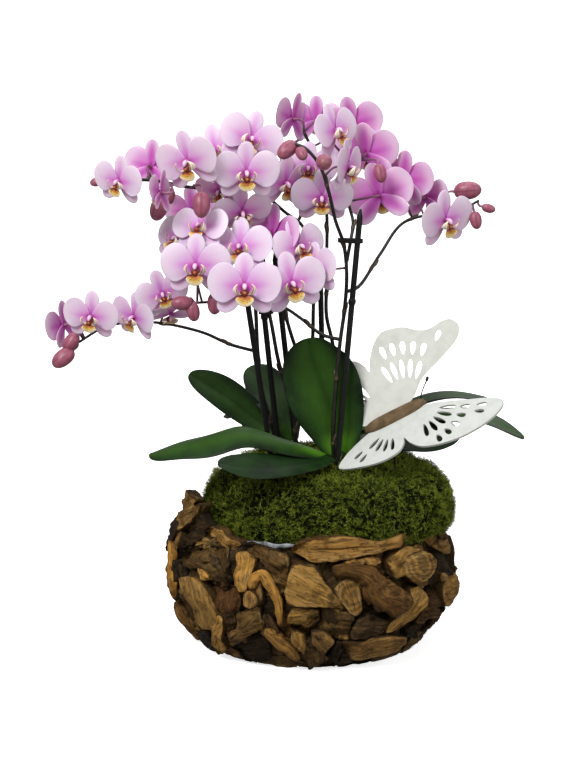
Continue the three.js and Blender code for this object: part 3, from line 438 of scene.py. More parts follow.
class Shader:
    """A material and the nodes that work out its colour, gloss and relief."""

    def __init__(self, name: str) -> None:
        """Starts an empty material.

        Args:
            name: the material's name.
        """
        self.material = bpy.data.materials.new(name)
        self.material.use_nodes = True
        self.tree = self.material.node_tree
        self.tree.nodes.clear()

    def node(self, kind: str, settings: dict | None = None, inputs: dict | None = None,
             output: int | str = 0) -> Socket:
        """Adds one node.

        Args:
            kind: the node's type.
            settings: its settings, set first.
            inputs: values or links by socket name or number.
            output: which output to give.

        Returns:
            That output.
        """
        new = self.tree.nodes.new(kind)
        for key, value in (settings or {}).items():
            setattr(new, key, value)
        for key, value in (inputs or {}).items():
            if isinstance(value, Socket):
                self.tree.links.new(value.link, new.inputs[key])
            elif isinstance(value, tuple) and new.inputs[key].type == "RGBA":
                new.inputs[key].default_value = (*value, 1.0)
            else:
                new.inputs[key].default_value = value
        return Socket(self, new.outputs[output]) if new.outputs else Socket(self, None)

    def value(self, name: str) -> Socket:
        """A number that the points carry."""
        return self.node("ShaderNodeAttribute", {"attribute_name": name}, output="Fac")

    def vector(self, name: str) -> Socket:
        """A vector that the points carry."""
        return self.node("ShaderNodeAttribute", {"attribute_name": name}, output="Vector")

    def place(self) -> Socket:
        """The object's own coordinates, in metres."""
        return self.node("ShaderNodeTexCoord", output="Object")

    def component(self, vector: Socket, axis: int) -> Socket:
        """One component of a vector."""
        return self.node("ShaderNodeSeparateXYZ", inputs={0: vector}, output=axis)

    def stretched(self, vector: Socket, scale: Point) -> Socket:
        """A vector multiplied part by part."""
        return self.node("ShaderNodeVectorMath", {"operation": "MULTIPLY"}, {0: vector, 1: scale})

    def noise(self, scale: float, detail: float = 3.0, rough: float = 0.5, bend: float = 0.0,
              at: Socket | None = None) -> Socket:
        """Cloudy noise from 0 to 1: its scale, how many finer layers, their strength, its bend, and where."""
        numbers = {"Scale": scale, "Detail": detail, "Roughness": rough, "Distortion": bend}
        return self.node("ShaderNodeTexNoise", None, {"Vector": self.place() if at is None else at, **numbers})

    def mix(self, factor: Socket | float, first: Socket | Colour, second: Socket | Colour,
            blend: str = "MIX") -> Socket:
        """The colour that lies at factor from first to second."""
        return self.node("ShaderNodeMix", {"data_type": "RGBA", "blend_type": blend},
                         {0: factor, 6: first, 7: second}, output=2)

    def ramp(self, factor: Socket, stops: list[tuple[float, Colour]]) -> Socket:
        """A colour read off a ramp.

        Args:
            factor: where on the ramp.
            stops: (place, colour) pairs in order.

        Returns:
            The colour.
        """
        colour = self.node("ShaderNodeValToRGB", None, {0: factor})
        elements = colour.link.node.color_ramp.elements
        while len(elements) < len(stops):
            elements.new(1.0)
        for element, (place, stop) in zip(elements, stops):
            element.position, element.color = place, (*stop, 1.0)
        return colour

    def relief(self, height: Socket, depth: float, strength: float = 1.0) -> Socket:
        """A normal from a height of 0 to 1, where 1 stands for depth in millimetres."""
        inputs = {"Height": height, "Distance": depth * MM, "Strength": strength}
        return self.node("ShaderNodeBump", None, inputs)

    def finished(self, colour: Socket | Colour, roughness: Socket | float, normal: Socket | None = None,
                 **uniform: float) -> bpy.types.Material:
        """Ends the material in one surface shader.

        Args:
            colour: its colour.
            roughness: its roughness.
            normal: its relief, if it has one.
            uniform: other sockets that one number fills.

        Returns:
            The material.
        """
        inputs = {"Base Color": colour, "Roughness": roughness}
        if normal is not None:
            inputs["Normal"] = normal
        names = {"sheen": "Sheen Weight", "sheen_roughness": "Sheen Roughness", "metallic": "Metallic",
                 "specular": "Specular IOR Level", "inner": "Subsurface Weight",
                 "inner_scale": "Subsurface Scale"}
        inputs.update({names[key]: value for key, value in uniform.items()})
        shader = self.node("ShaderNodeBsdfPrincipled", None, inputs)
        self.node("ShaderNodeOutputMaterial", None, {"Surface": shader})
        return self.material


@dataclass(frozen=True)
class PetalFinish:
    """Lilac petals: paler to the edge, flushed magenta from the base along the middle, with fine veins."""

    edge: Colour = paint(226, 208, 224)
    body: Colour = paint(213, 183, 213)
    back: Colour = paint(200, 102, 180)
    flush: Colour = paint(200, 104, 196)
    deep: Colour = paint(164, 46, 140)

    def material(self) -> bpy.types.Material:
        """The petals' material.

        "petal" carries along, across and whether behind, "tone" the bloom's depth of colour, and "sepal"
        is 1 on the three sepals, which have a broad band of colour where the petals have a narrow streak.

        Returns:
            The material.
        """
        shader = Shader("petal")
        spot = shader.vector("petal")
        along, across, behind = (shader.component(spot, axis) for axis in range(3))
        tone, sepal = shader.value("tone"), shader.value("sepal")
        spread = (across * across * 0.45 + along * along) ** 0.5
        bearing = across.math("ARCTAN2", along * 1.3 + 0.06)
        cloud = shader.noise(160, 3.0)
        veins = 1 - ((bearing * 23 + cloud * 3.2).sine()).size() ** 0.6
        margin = spread.between(0.95, 0.45) * 0.75 + 0.25
        pale = shader.mix(spread.between(0.3, 0.95), self.body, self.edge)
        pale = shader.mix(behind * (0.35 + tone * 0.6) * margin, pale, self.back)
        pale = shader.mix(tone * 0.45 * cloud.between(0.2, 0.8, 0.6, 1.0) * margin, pale, self.flush)
        streak = (across * across * -30).math("EXPONENT") * along.between(0.9, 0.2)
        band = (across * across * -5).math("EXPONENT") * along.between(1.25, 0.35)
        line = streak * (1 - sepal) + band * sepal
        glow = spread.between(0.62, 0.08) * (0.5 + tone * 0.4)
        warm = shader.mix((glow + line * (0.45 + behind * 0.35)).math("MINIMUM", 1.0), pale, self.flush)
        lined = shader.mix(veins * spread.between(0.7, 0.2) * 0.15, warm, self.flush)
        heart = spread.between(0.26, 0.03) * 0.8 + behind * line * 0.5
        colour = shader.mix(heart.math("MINIMUM", 1.0), lined, self.deep)
        return shader.finished(colour, 0.5, shader.relief(veins * 0.3 + cloud, 0.3, 0.6),
                               sheen=0.15, sheen_roughness=0.4, specular=0.3, inner=0.2, inner_scale=0.004)


@dataclass(frozen=True)
class LipFinish:
    """The lip: a red-brown throat, then orange, yellow and a cream edge, with stripes on the side lobes."""

    throat: Colour = paint(112, 44, 42)
    orange: Colour = paint(192, 104, 44)
    yellow: Colour = paint(232, 196, 96)
    cream: Colour = paint(246, 234, 208)
    stripe: Colour = paint(132, 54, 50)

    def material(self) -> bpy.types.Material:
        """The lip's material.

        "petal" carries the way out from the throat, the way across, and 1 on a side lobe.

        Returns:
            The material.
        """
        shader = Shader("lip")
        spot = shader.vector("petal")
        along, across, aside = (shader.component(spot, axis) for axis in range(3))
        cloud = shader.noise(420, 3.0)
        fleck = shader.noise(900, 2.0)
        reach = along + (cloud - 0.5) * 0.35
        stops = [(0.2, self.throat), (0.45, self.orange), (0.68, self.yellow), (0.92, self.cream)]
        ground = shader.ramp(reach, stops)
        spots = fleck.between(0.5, 0.62) * along.between(0.9, 0.6) * (1 - aside)
        bars = (across * 7 + cloud * 2).sine().between(0.2, 0.8) * across.between(0.5, -0.6) * aside
        colour = shader.mix((bars * 0.85 + spots * 0.7).math("MINIMUM", 1.0), ground, self.stripe)
        return shader.finished(colour, 0.42, shader.relief(cloud, 0.2, 0.4), specular=0.35)


@dataclass(frozen=True)
class ColumnFinish:
    """The column: a waxy pinkish white knob with a magenta back."""

    cap: Colour = paint(226, 188, 212)
    back: Colour = paint(196, 118, 190)

    def material(self) -> bpy.types.Material:
        """The column's material; "petal" carries the way along it.

        Returns:
            The material.
        """
        shader = Shader("column")
        along = shader.component(shader.vector("petal"), 0)
        cloud = shader.noise(700, 2.0)
        colour = shader.mix((along + cloud * 0.3).between(0.35, 0.9), self.back, self.cap)
        return shader.finished(colour, 0.35, shader.relief(cloud, 0.1, 0.4), specular=0.45)


@dataclass(frozen=True)
class BudFinish:
    """Closed buds: dusky rose with maroon seams and a slightly green tip."""

    rose: Colour = paint(156, 86, 106)
    maroon: Colour = paint(112, 50, 68)
    tip: Colour = paint(134, 104, 84)

    def material(self) -> bpy.types.Material:
        """The buds' material; "petal" carries the way along and the seams.

        Returns:
            The material.
        """
        shader = Shader("bud")
        spot = shader.vector("petal")
        along, seam = shader.component(spot, 0), shader.component(spot, 1)
        cloud = shader.noise(260, 3.0)
        colour = shader.mix(cloud.between(0.3, 0.8) * 0.6, self.rose, self.maroon)
        colour = shader.mix(seam.between(0.6, 1.0) * 0.7, colour, self.maroon)
        colour = shader.mix(along.between(0.85, 1.0) * 0.4, colour, self.tip)
        return shader.finished(colour, 0.4, shader.relief(cloud, 0.2, 0.4), specular=0.4)


@dataclass(frozen=True)
class StemFinish:
    """Flower spikes: dark olive brown with paler specks, lighter at each node."""

    dark: Colour = paint(17, 15, 12)
    brown: Colour = paint(40, 32, 24)
    node: Colour = paint(88, 72, 52)

    def material(self) -> bpy.types.Material:
        """The stems' material; "node" is 1 at a node, "blush" 1 where a stalk meets its bloom.

        Returns:
            The material.
        """
        shader = Shader("stem")
        cloud = shader.noise(220, 4.0)
        colour = shader.mix(cloud.between(0.4, 0.75), self.dark, self.brown)
        colour = shader.mix(shader.value("node").between(0.2, 1.0) * 0.8, colour, self.node)
        colour = shader.mix(shader.value("blush") * 0.75, colour, paint(170, 110, 140))
        return shader.finished(colour, 0.42, shader.relief(cloud, 0.25, 0.5), specular=0.4)


@dataclass(frozen=True)
class LeafFinish:
    """Thick leaves: dark glossy green, with painted light as lighter green along the middle, a painted shade
    line down the midrib groove, faint lengthwise veins and a darker rim.
    """

    dark: Colour = paint(12, 24, 11)
    green: Colour = paint(26, 52, 18)
    light: Colour = paint(80, 132, 26)
    under: Colour = paint(42, 40, 28)

    def material(self) -> bpy.types.Material:
        """The leaves' material; "blade" carries along, across and the upper side, and "light" how much painted
        light the leaf takes.

        Returns:
            The material.
        """
        shader = Shader("leaf")
        spot = shader.vector("blade")
        along, across, upper = (shader.component(spot, axis) for axis in range(3))
        cloud = shader.noise(45, 4.0, 0.6)
        veins = shader.noise(1.0, 2.0, at=shader.stretched(spot, (2.5, 26, 1)))
        groove = (across * across * -120).math("EXPONENT")
        colour = shader.mix(cloud.between(0.3, 0.7), self.dark, self.green)
        # Painted light: lighter green along the middle and towards the base, by each leaf's own amount, for
        # how brightly that leaf is lit and how much light shines through it.
        painted_light_amount = shader.value("light") * across.size().between(0.98, 0.3) * veins.between(0.2, 0.8, 0.75, 1.0)
        colour = shader.mix(painted_light_amount * along.between(1.0, 0.4, 0.3, 1.2), colour, self.light)
        # Painted shade: a darker line down the midrib groove.
        colour = shader.mix(groove * 0.3, colour, self.dark)
        colour = shader.mix(veins.between(0.45, 0.8) * 0.18, colour, self.dark)
        colour = shader.mix(across.size().between(0.93, 1.0) * 0.5, colour, self.dark)
        colour = shader.mix((1 - upper) * 0.7, colour, self.under)
        height = veins * 0.6 + cloud * 0.8
        rough = cloud.between(0.3, 0.7, 0.36, 0.5)
        return shader.finished(colour, rough, shader.relief(height, 0.5, 0.45), specular=0.14)


@dataclass(frozen=True)
class MossFinish:
    """Moss: dark brown-green at the strands' feet and on the bed, painted shade down in the gaps; yellow-green
    at the tips, paler on the crowns of the clumps as painted light; in uneven patches.
    """

    shade: Colour = paint(12, 15, 4)
    green: Colour = paint(54, 70, 16)
    tip: Colour = paint(158, 170, 62)
    dry: Colour = paint(124, 106, 52)

    def material(self) -> bpy.types.Material:
        """The moss's material; "tip" is 0 at a strand's foot and 1 at its end, and "tone" how far its tip
        turns pale, which is partly painted light.

        Returns:
            The material.
        """
        shader = Shader("moss")
        patch = shader.noise(34, 3.0)
        tip, tone = shader.value("tip"), shader.value("tone")
        end = shader.mix(patch.between(0.58, 0.7) * 0.5, self.tip, self.dry)
        # Painted shade: each strand is darkest at its foot, down in the gaps.
        colour = shader.mix(tip.between(0.15, 0.8), self.shade, self.green)
        colour = shader.mix(tip.between(0.3, 1.0) * tone * patch.between(0.3, 0.6, 0.6, 1.0), colour, end)
        return shader.finished(colour, 0.9, None, specular=0.05)


@dataclass(frozen=True)
class WoodFinish:
    """Driftwood: brown and tan worn faces with grain, lighter worn edges, dark bark, cracks and dirt."""

    dark: Colour = paint(20, 14, 7)
    umber: Colour = paint(62, 43, 20)
    brown: Colour = paint(108, 79, 37)
    tan: Colour = paint(162, 122, 60)
    honey: Colour = paint(200, 144, 62)
    grey: Colour = paint(98, 86, 64)
    rust: Colour = paint(120, 70, 36)
    worn: Colour = paint(190, 160, 106)

    def material(self) -> bpy.types.Material:
        """The wood's material.

        "grain" carries the place along and across the fibres in millimetres, "tone" the piece's colour,
        "hue" how grey or red it is, "face" is 1 on the open face, "edge" is 1 along its worn edge, and
        "rings" is 1 where the face shows year rings.

        Returns:
            The material.
        """
        shader = Shader("driftwood")
        grain = shader.vector("grain")
        tone, face, rings = shader.value("tone"), shader.value("face"), shader.value("rings")
        hue, edge = shader.value("hue"), shader.value("edge")
        streaks = shader.noise(1.0, 5.0, 0.6, 0.5, at=shader.stretched(grain, (0.03, 0.4, 0.4)))
        fine = shader.noise(1.0, 4.0, 0.65, at=shader.stretched(grain, (0.1, 2.0, 2.0)))
        blotch = shader.noise(0.075, 5.0, 0.6, at=grain)
        radius = shader.node("ShaderNodeVectorMath", {"operation": "LENGTH"}, {0: grain}, output="Value")
        years = (radius * 2.2 + blotch * 9).sine().between(-0.9, 1.0, 0.3, 0.7)
        pattern = shader.node("ShaderNodeMix", {"data_type": "FLOAT"}, {0: rings, 2: streaks, 3: years}, 0)
        base = shader.ramp(tone + (pattern - 0.5) * 0.5 + (blotch - 0.5) * 0.35, [
            (0.0, self.dark), (0.22, self.umber), (0.45, self.brown), (0.7, self.tan), (1.0, self.honey)])
        base = shader.mix(hue.between(0.0, 0.45, 0.45, 0.0), base, self.grey, "SOFT_LIGHT")
        base = shader.mix(hue.between(0.0, 0.4, 0.3, 0.0) * blotch.between(0.35, 0.6), base, self.grey)
        base = shader.mix(hue.between(0.84, 0.98, 0.0, 0.35), base, self.rust)
        stain = shader.noise(55, 4.0, 0.65)
        base = shader.mix(blotch.between(0.5, 0.68) * 0.7, base, self.umber)
        base = shader.mix(stain.between(0.55, 0.68) * 0.75, base, self.dark)
        cracks = 1 - (streaks - 0.47).size().between(0.0, 0.018)
        base = shader.mix(fine.between(0.5, 0.75) * 0.5, base, self.umber)
        base = shader.mix(cracks * fine.between(0.35, 0.5) * 0.85, base, self.dark)
        rubbed = edge * fine.between(0.35, 0.6) * blotch.between(0.55, 0.4, 0.0, 0.6)
        base = shader.mix(rubbed * tone.between(0.1, 0.5, 0.3, 1.0), base, self.worn)
        bark = shader.mix(fine.between(0.4, 0.8) * 0.8, self.dark, shader.mix(hue, self.grey, self.umber))
        bare = (face + (blotch - 0.5) * 0.7).between(0.15, 0.75)
        colour = shader.mix(bare, shader.mix(0.25, bark, base), base)
        height = streaks * 0.8 + fine * 0.5 - cracks * 0.5 + pattern * 0.25
        return shader.finished(colour, 0.85, shader.relief(height, 1.6, 1.0), specular=0.15)


@dataclass(frozen=True)
class SpeckledFinish:
    """A plain finish with two colours in a cloudy mix, for pieces with no pattern of their own."""

    name: str
    first: Colour
    second: Colour
    scale: float
    roughness: float
    depth: float = 0.2
    metallic: float = 0.0

    def material(self) -> bpy.types.Material:
        """The finish's material.

        Returns:
            The material.
        """
        shader = Shader(self.name)
        cloud = shader.noise(self.scale, 4.0, 0.6)
        colour = shader.mix(cloud.between(0.35, 0.7), self.first, self.second)
        rough = cloud.between(0.3, 0.7, self.roughness - 0.06, self.roughness + 0.06)
        return shader.finished(colour, rough, shader.relief(cloud, self.depth, 0.6), metallic=self.metallic,
                               specular=0.25)


STAKE_FINISH = SpeckledFinish("stake", paint(5, 6, 5), paint(12, 13, 10), 300, 0.5)
FILM_FINISH = SpeckledFinish("liner_film", paint(176, 182, 184), paint(84, 86, 82), 160, 0.35, 0.6)
BARK_FINISH = SpeckledFinish("bark", paint(52, 34, 22), paint(98, 66, 42), 140, 0.9, 1.5)
POT_FINISH = SpeckledFinish("nursery_pot", paint(196, 190, 176), paint(176, 170, 156), 60, 0.35)
ROOT_FINISH = SpeckledFinish("roots", paint(96, 84, 58), paint(140, 128, 96), 180, 0.9, 1.2)
# Painted light and shade: the two wings share one white paint, given here as a lit copy for the near wing and
# a shaded copy for the far wing, each tinted to how bright its wing looks in its light.
NEAR_WING_LIT_WHITE = SpeckledFinish("white_paint", paint(196, 199, 194), paint(187, 190, 184), 120, 0.7, 0.12)
FAR_WING_SHADED_WHITE = SpeckledFinish("chalk_paint", paint(216, 217, 209), paint(205, 206, 198), 90, 0.75, 0.15)
BURNT_FINISH = SpeckledFinish("cut_edge", paint(112, 78, 44), paint(146, 108, 66), 300, 0.75)
WIRE_FINISH = SpeckledFinish("wire", paint(30, 26, 24), paint(52, 44, 38), 200, 0.4, 0.1, 0.6)
CARVED_FINISH = SpeckledFinish("plain_wood", paint(82, 66, 44), paint(116, 96, 70), 70, 0.8, 0.6)


# Basket

class Cut(Enum):
    """What a piece of driftwood turns outwards."""

    SAWN = "a sawn face"
    ROUND = "a round stick's end, with year rings"
    BROKEN = "a broken face"
    BARK = "dark bark"


SAWN, ROUND, BROKEN, BARK = Cut


class Draw:
    """The solids' own draw of numbers, so that each piece lies where its solid does."""

    def __init__(self, seed: int) -> None:
        """Starts the draw at its first state."""
        self.state = seed

    def __call__(self, low: float, high: float) -> float:
        """The next number between low and high."""
        self.state = (self.state * 1664525 + 1013904223) % 4294967296
        return low + (high - low) * self.state / 4294967296


@dataclass
class Chunk:
    """One piece of driftwood: how far it stands out, its tone, its cut, and its corners.

    A corner is a pair of degrees round the bowl and height. A tone under 0 is left to the draw.
    """

    stands: float
    tone: float
    cut: Cut
    corners: list | tuple


@dataclass
class Limb:
    """A stick on the basket: its colour, how far out it lies, and its line of degrees, height, radius."""

    tone: float
    stands: float
    line: tuple


FRONT_WOOD = [Chunk(stands, tone, cut, corners) for stands, tone, cut, *corners in (
    (8, 0.6, SAWN, (-172, 147), (-162, 147), (-182, 132), (-182, 121), (-169, 128), (-158, 138),
     (-153, 147)),
    (13, 0.55, SAWN, (-178, 118), (-175, 112), (-169, 109), (-156, 124), (-149, 135), (-146, 144),
     (-148, 146), (-172, 125)),
    (8, 0.74, SAWN, (-139, 117), (-133, 113), (-126, 109), (-124, 113), (-123, 118), (-129, 120),
     (-133, 126), (-141, 127), (-145, 121)),
    (13, 0.33, BROKEN, (-156, 83), (-139, 91), (-132, 77), (-126, 82), (-127, 99), (-131, 113),
     (-143, 111), (-153, 101), (-159, 90)),
    (14, 0.78, SAWN, (-122, 99), (-122, 83), (-119, 77), (-116, 79), (-114, 101), (-114, 107),
     (-118, 113), (-123, 109)),
    (11, 0.36, BROKEN, (-111, 105), (-105, 89), (-101, 83), (-100, 99), (-100, 109), (-102, 114),
     (-108, 117), (-118, 119), (-122, 116)),
    (17, 0.6, SAWN, (-145, 52), (-145, 37), (-141, 32), (-130, 38), (-129, 48), (-130, 61), (-138, 80),
     (-144, 81), (-151, 76)),
    (16, 0.76, SAWN, (-141, 6), (-140, 3), (-130, 15), (-130, 26), (-128, 35), (-127, 49), (-129, 54),
     (-134, 32)),
    (15, 0.42, SAWN, (-131, 14), (-127, 19), (-117, 34), (-109, 48), (-110, 57), (-111, 67), (-119, 58),
     (-121, 43), (-130, 26)),
    (16, 0.64, SAWN, (-74, 14), (-70, 10), (-54, 14), (-49, 22), (-50, 29), (-59, 35), (-67, 35),
     (-71, 31), (-79, 34)),
    (15, 0.7, SAWN, (-91, 108), (-83, 108), (-60, 114), (-50, 115), (-47, 119), (-47, 125), (-53, 126),
     (-62, 123), (-67, 124), (-73, 129), (-86, 130), (-97, 124), (-100, 117)),
    (18, 0.66, SAWN, (-101, 82), (-100, 73), (-97, 70), (-88, 70), (-79, 67), (-81, 76), (-90, 103),
     (-96, 107), (-99, 103)),
    (15, 0.56, ROUND, (-77, 62), (-74, 58), (-72, 64), (-72, 74), (-73, 84), (-75, 91), (-78, 93),
     (-81, 90), (-83, 84)),
    (20, 0.55, ROUND, (-54, 92), (-50, 82), (-45, 80), (-38, 89), (-36, 96), (-38, 103), (-42, 108),
     (-52, 105), (-54, 99)),
    (17, 0.6, SAWN, (-58, 88), (-53, 91), (-53, 97), (-51, 103), (-41, 107), (-47, 113), (-53, 113),
     (-58, 108), (-60, 103)),
    (16, 0.66, SAWN, (-50, 64), (-60, 47), (-61, 38), (-54, 39), (-48, 45), (-43, 55), (-42, 66),
     (-46, 77), (-51, 77)),
    (17, 0.66, SAWN, (-31, 59), (-26, 45), (-18, 40), (-19, 46), (-9, 48), (-9, 55), (-15, 70),
     (-23, 76), (-30, 68)),
    (12, 0.56, SAWN, (-32, 106), (-29, 101), (-24, 94), (-14, 89), (-4, 91), (0, 97), (-27, 108)),
    (7, 0.12, BROKEN, (-164, 96), (-145, 114), (-146, 121), (-141, 126), (-145, 130), (-151, 141),
     (-157, 129), (-166, 116), (-182, 100)),
    (15, 0.22, BARK, (-172, 59), (-173, 55), (-161, 64), (-165, 81), (-178, 79), (-177, 68)),
    (9, 0.6, BROKEN, (-150, 105), (-142, 106), (-136, 111), (-138, 117), (-146, 114), (-153, 114)),
    (17, 0.85, SAWN, (-139, 85), (-136, 81), (-133, 83), (-133, 86), (-137, 90), (-140, 90)),
    (18, 0.7, ROUND, (-116, 66), (-114, 64), (-112, 67), (-111, 73), (-112, 79), (-114, 81), (-116, 78),
     (-117, 72)),
    (12, 0.12, BARK, (-155, 0), (-149, 0), (-147, 0), (-140, 16), (-137, 32), (-153, 17), (-165, 3)),
    (11, 0.2, BROKEN, (-132, 69), (-131, 54), (-130, 44), (-129, 31), (-124, 40), (-120, 56), (-119, 70),
     (-122, 79), (-133, 78)),
    (11, 0.18, BARK, (-124, 15), (-125, 3), (-112, 7), (-109, 15), (-108, 31), (-109, 42), (-116, 34),
     (-130, 13)),
    (14, 0.64, BROKEN, (-99, 32), (-96, 23), (-94, 19), (-93, 29), (-93, 41), (-100, 47)),
    (15, 0.6, SAWN, (-91, 34), (-88, 25), (-86, 19), (-82, 36), (-87, 45), (-91, 45)),
    (13, 0.3, BROKEN, (-96, 12), (-93, 7), (-92, 2), (-88, 9), (-83, 15), (-86, 19), (-87, 23),
     (-90, 33), (-93, 30)),
    (12, 0.14, BARK, (-80, 10), (-78, 11), (-78, 21), (-79, 33), (-81, 35), (-83, 15)),
    (14, 0.62, BROKEN, (-100, 52), (-96, 53), (-92, 50), (-88, 57), (-88, 66), (-97, 68), (-99, 67)),
    (12, 0.34, BROKEN, (-88, 56), (-90, 46), (-85, 44), (-82, 38), (-76, 35), (-76, 45), (-74, 59),
     (-78, 63), (-88, 66)),
    (13, 0.76, SAWN, (-78, 106), (-72, 104), (-63, 101), (-62, 104), (-63, 107), (-66, 109), (-71, 109),
     (-77, 108)),
    (10, 0.42, BROKEN, (-19, 111), (-17, 105), (0, 98), (0, 108), (0, 114), (-11, 114)),
    (12, 0.2, BARK, (-32, 84), (-38, 76), (-36, 70), (-28, 76), (-18, 71), (-18, 75), (-18, 89),
     (-29, 99)),
    (17, 0.62, ROUND, (-32, 74), (-28, 72), (-26, 74), (-28, 79), (-31, 81), (-33, 79)),
    (12, 0.22, BROKEN, (-41, 50), (-45, 39), (-40, 36), (-38, 39), (-24, 34), (-10, 32), (-20, 41),
     (-31, 68), (-39, 67)),
    (11, 0.13, BARK, (-46, 25), (-39, 20), (-41, 33), (-43, 39), (-49, 35)),
    (13, 0.24, BROKEN, (-76, 35), (-72, 35), (-66, 35), (-60, 39), (-59, 48), (-64, 53), (-69, 58),
     (-73, 55), (-76, 44)),
)]
LIMBS = [
    Limb(0.95, 12, ((-182, 100, 4.1), (-170, 88, 4.5), (-168, 71, 4.6), (-163, 60, 4.3), (-167, 45, 2.9))),
    Limb(0.86, 12, ((-115, 82, 5.3), (-113, 92, 5.3), (-110, 95, 4.8), (-107, 87, 4.8), (-104, 75, 4.5),
         (-103, 63, 3.5), (-103, 50, 2.3))),
    Limb(0.4, 12, ((-83, 100, 6.3), (-76, 100, 6.3), (-70, 95, 9.2), (-65, 79, 13.6), (-58, 68, 13.6),
         (-51, 65, 9.2))),
    Limb(0.5, 10, ((-172, 36, 3.4), (-167, 32, 5.3), (-165, 22, 5.3), (-165, 3, 3.1))),
    Limb(0.62, 10, ((-110, 43, 3.5), (-107, 40, 6.3), (-103, 31, 6.8), (-100, 24, 6.3), (-97, 13, 3.4))),
]


@dataclass
class DriftwoodBasket:
    """A bowl of driftwood pieces glued side by side round a rough wall."""

    floor_thickness: float = 12
    outer: tuple = ((100, 0), (120, 32), (126, 60), (123, 92), (115, 115))
    inner: tuple = ((107, 115), (117, 75), (110, 32), (92, 12))
    root: float = 3
    per_degree: float = 2.2
    front_lean: float = 0.12
    levels: tuple = (0, 29, 58, 87, 116)
    cells: int = 18
    zigzag: float = 5
    node_shift: float = 4
    cell_stands: tuple = (8, 17)
    cell_lean: float = 0.14
    cut_shares: tuple = (0.5, 0.1, 0.25, 0.15)
    chips: int = 100
    seed: int = 41
    seam: float = -0.6

    def __post_init__(self) -> None:
        """Starts the solids' draw, which places the pieces, and the look's own draw."""
        self.draw, self.rng = Draw(self.seed), np.random.default_rng(7)

    def radius(self, height: Array) -> Array:
        """The wall's outer radius at a height, straight between the profile's rows."""
        return np.interp(height, [z for _, z in self.outer], [r for r, _ in self.outer])

    def on_bowl(self, local: Array) -> Array:
        """Places on the bowl.

        Args:
            local: the length round the bowl, the height, and the distance out of the wall.

        Returns:
            The points.
        """
        angle = np.radians(local[..., 0] / self.per_degree)
        reach = self.radius(local[..., 1]) + local[..., 2]
        return np.stack([reach * np.cos(angle), reach * np.sin(angle), np.maximum(local[..., 1], 0)], -1)

    def chunk(self, row: Chunk, lean: tuple[float, float], around: int = 60) -> Surface:
        """One piece of wood.

        Rings of its outline run up the sides, over a worn edge and in over the face. A face ring lies a
        share of the way from the outline to the piece's spine, which is the middle part of its long axis.
        Broken planes, fibre grooves and lumps then move the points.

        Args:
            row: the piece.
            lean: how its face leans round the bowl and upwards.
            around: points in each ring.

        Returns:
            Its surface.
        """
        corners = np.array(row.corners, float) * [self.per_degree, 1]
        outline = self.worn_outline(corners, 0.3 if row.cut is ROUND else 0.15, around)
        middle = outline.mean(0)
        spread, axes = np.linalg.eigh(np.cov((outline - middle).T))
        half_long, half_wide = math.sqrt(2 * spread[1]), math.sqrt(2 * max(spread[0], 1))
        along = (outline - middle) @ axes[:, 1]
        reach = max(half_long - half_wide * 1.15, 0)
        spine = middle + np.clip(along, -reach, reach)[:, None] * axes[:, 1]
        inward = spine - outline
        distance = np.linalg.norm(inward, axis=1, keepdims=True)
        steps = np.array([0, 0, 0, 0, 0.1, 0.3, 0.7, 1.3, 2.2, 3.6]) + self.seam
        edge = [outline + inward * np.minimum(step / distance, 0.8) for step in steps]
        faces = [spine + (edge[-1] - spine) * share for share in (0.86, 0.72, 0.58, 0.44, 0.3, 0.15)]
        flat = np.stack(edge + faces)
        rise = np.array([0, 0.3, 0.56, 0.76, 0.88, 0.94, 0.968, 0.985, 0.996, 1.0, 1, 1, 1, 1, 1, 1])[:, None]
        face = smoothstep(0.88, 0.99, np.broadcast_to(rise, flat.shape[:2]))
        off = flat - middle
        broken = np.maximum(self.broken_planes(off, outline - middle, row.cut), -0.55 * row.stands)
        out = (-self.root + (self.root + row.stands) * rise
               + (lean[0] * off[..., 0] + lean[1] * off[..., 1] + broken) * face)
        local = np.concatenate([flat, out[..., None]], -1)
        turn = math.atan2(axes[1, 1], axes[0, 1]) + self.rng.normal(0, 0.15)
        fibre = np.array([math.cos(turn), math.sin(turn), 0])
        cross = np.array([-math.sin(turn), math.cos(turn), 0])
        start = np.array([*middle, row.stands])
        shift = self.rng.uniform(-300, 300, 3)
        if row.cut is ROUND:
            shift = np.array([*self.rng.normal(0, half_wide * 0.25, 2), 0])
        grain = np.stack([(local - start) @ fibre, (local - start) @ cross, local[..., 2]], -1) + shift
        size = 2 * half_wide
        fibres = swell(grain * [0.12, 1, 1], 4.2, int(self.rng.integers(1e6)))
        lumps = swell(local, max(size * 0.9, 9), int(self.rng.integers(1e6)))
        small = swell(local, 6.5, int(self.rng.integers(1e6)))
        rough = {SAWN: 0.7, ROUND: 0.4, BROKEN: 1.8, BARK: 1.5}[row.cut]
        away = unit(-inward)
        local[..., :2] += away * ((1 - face) * (lumps * 1.1 + small * 0.6 - 0.3))[..., None]
        local[..., 2] += face * (lumps * rough + fibres * (0.25 + 0.2 * rough) + small * rough * 0.35)
        points = self.on_bowl(local)
        rim = np.minimum(np.linalg.norm(flat - outline, axis=-1), steps[-1])
        worn = np.exp(-(rim - 1.6) ** 2 / 1.6)
        surface = skin(points[::-1], points[-1].mean(0), points[0].mean(0), grain=grain[::-1],
                       face=face[::-1], edge=(worn * face)[::-1])
        tone = row.tone if row.tone >= 0 else float(np.clip(self.rng.normal(0.42, 0.2), 0.05, 0.92))
        surface.values["face"] *= 0.0 if row.cut is BARK else 1.0
        return surface.carrying(tone=tone, rings=1.0 if row.cut is ROUND else 0.0, hue=self.rng.uniform(0, 1))

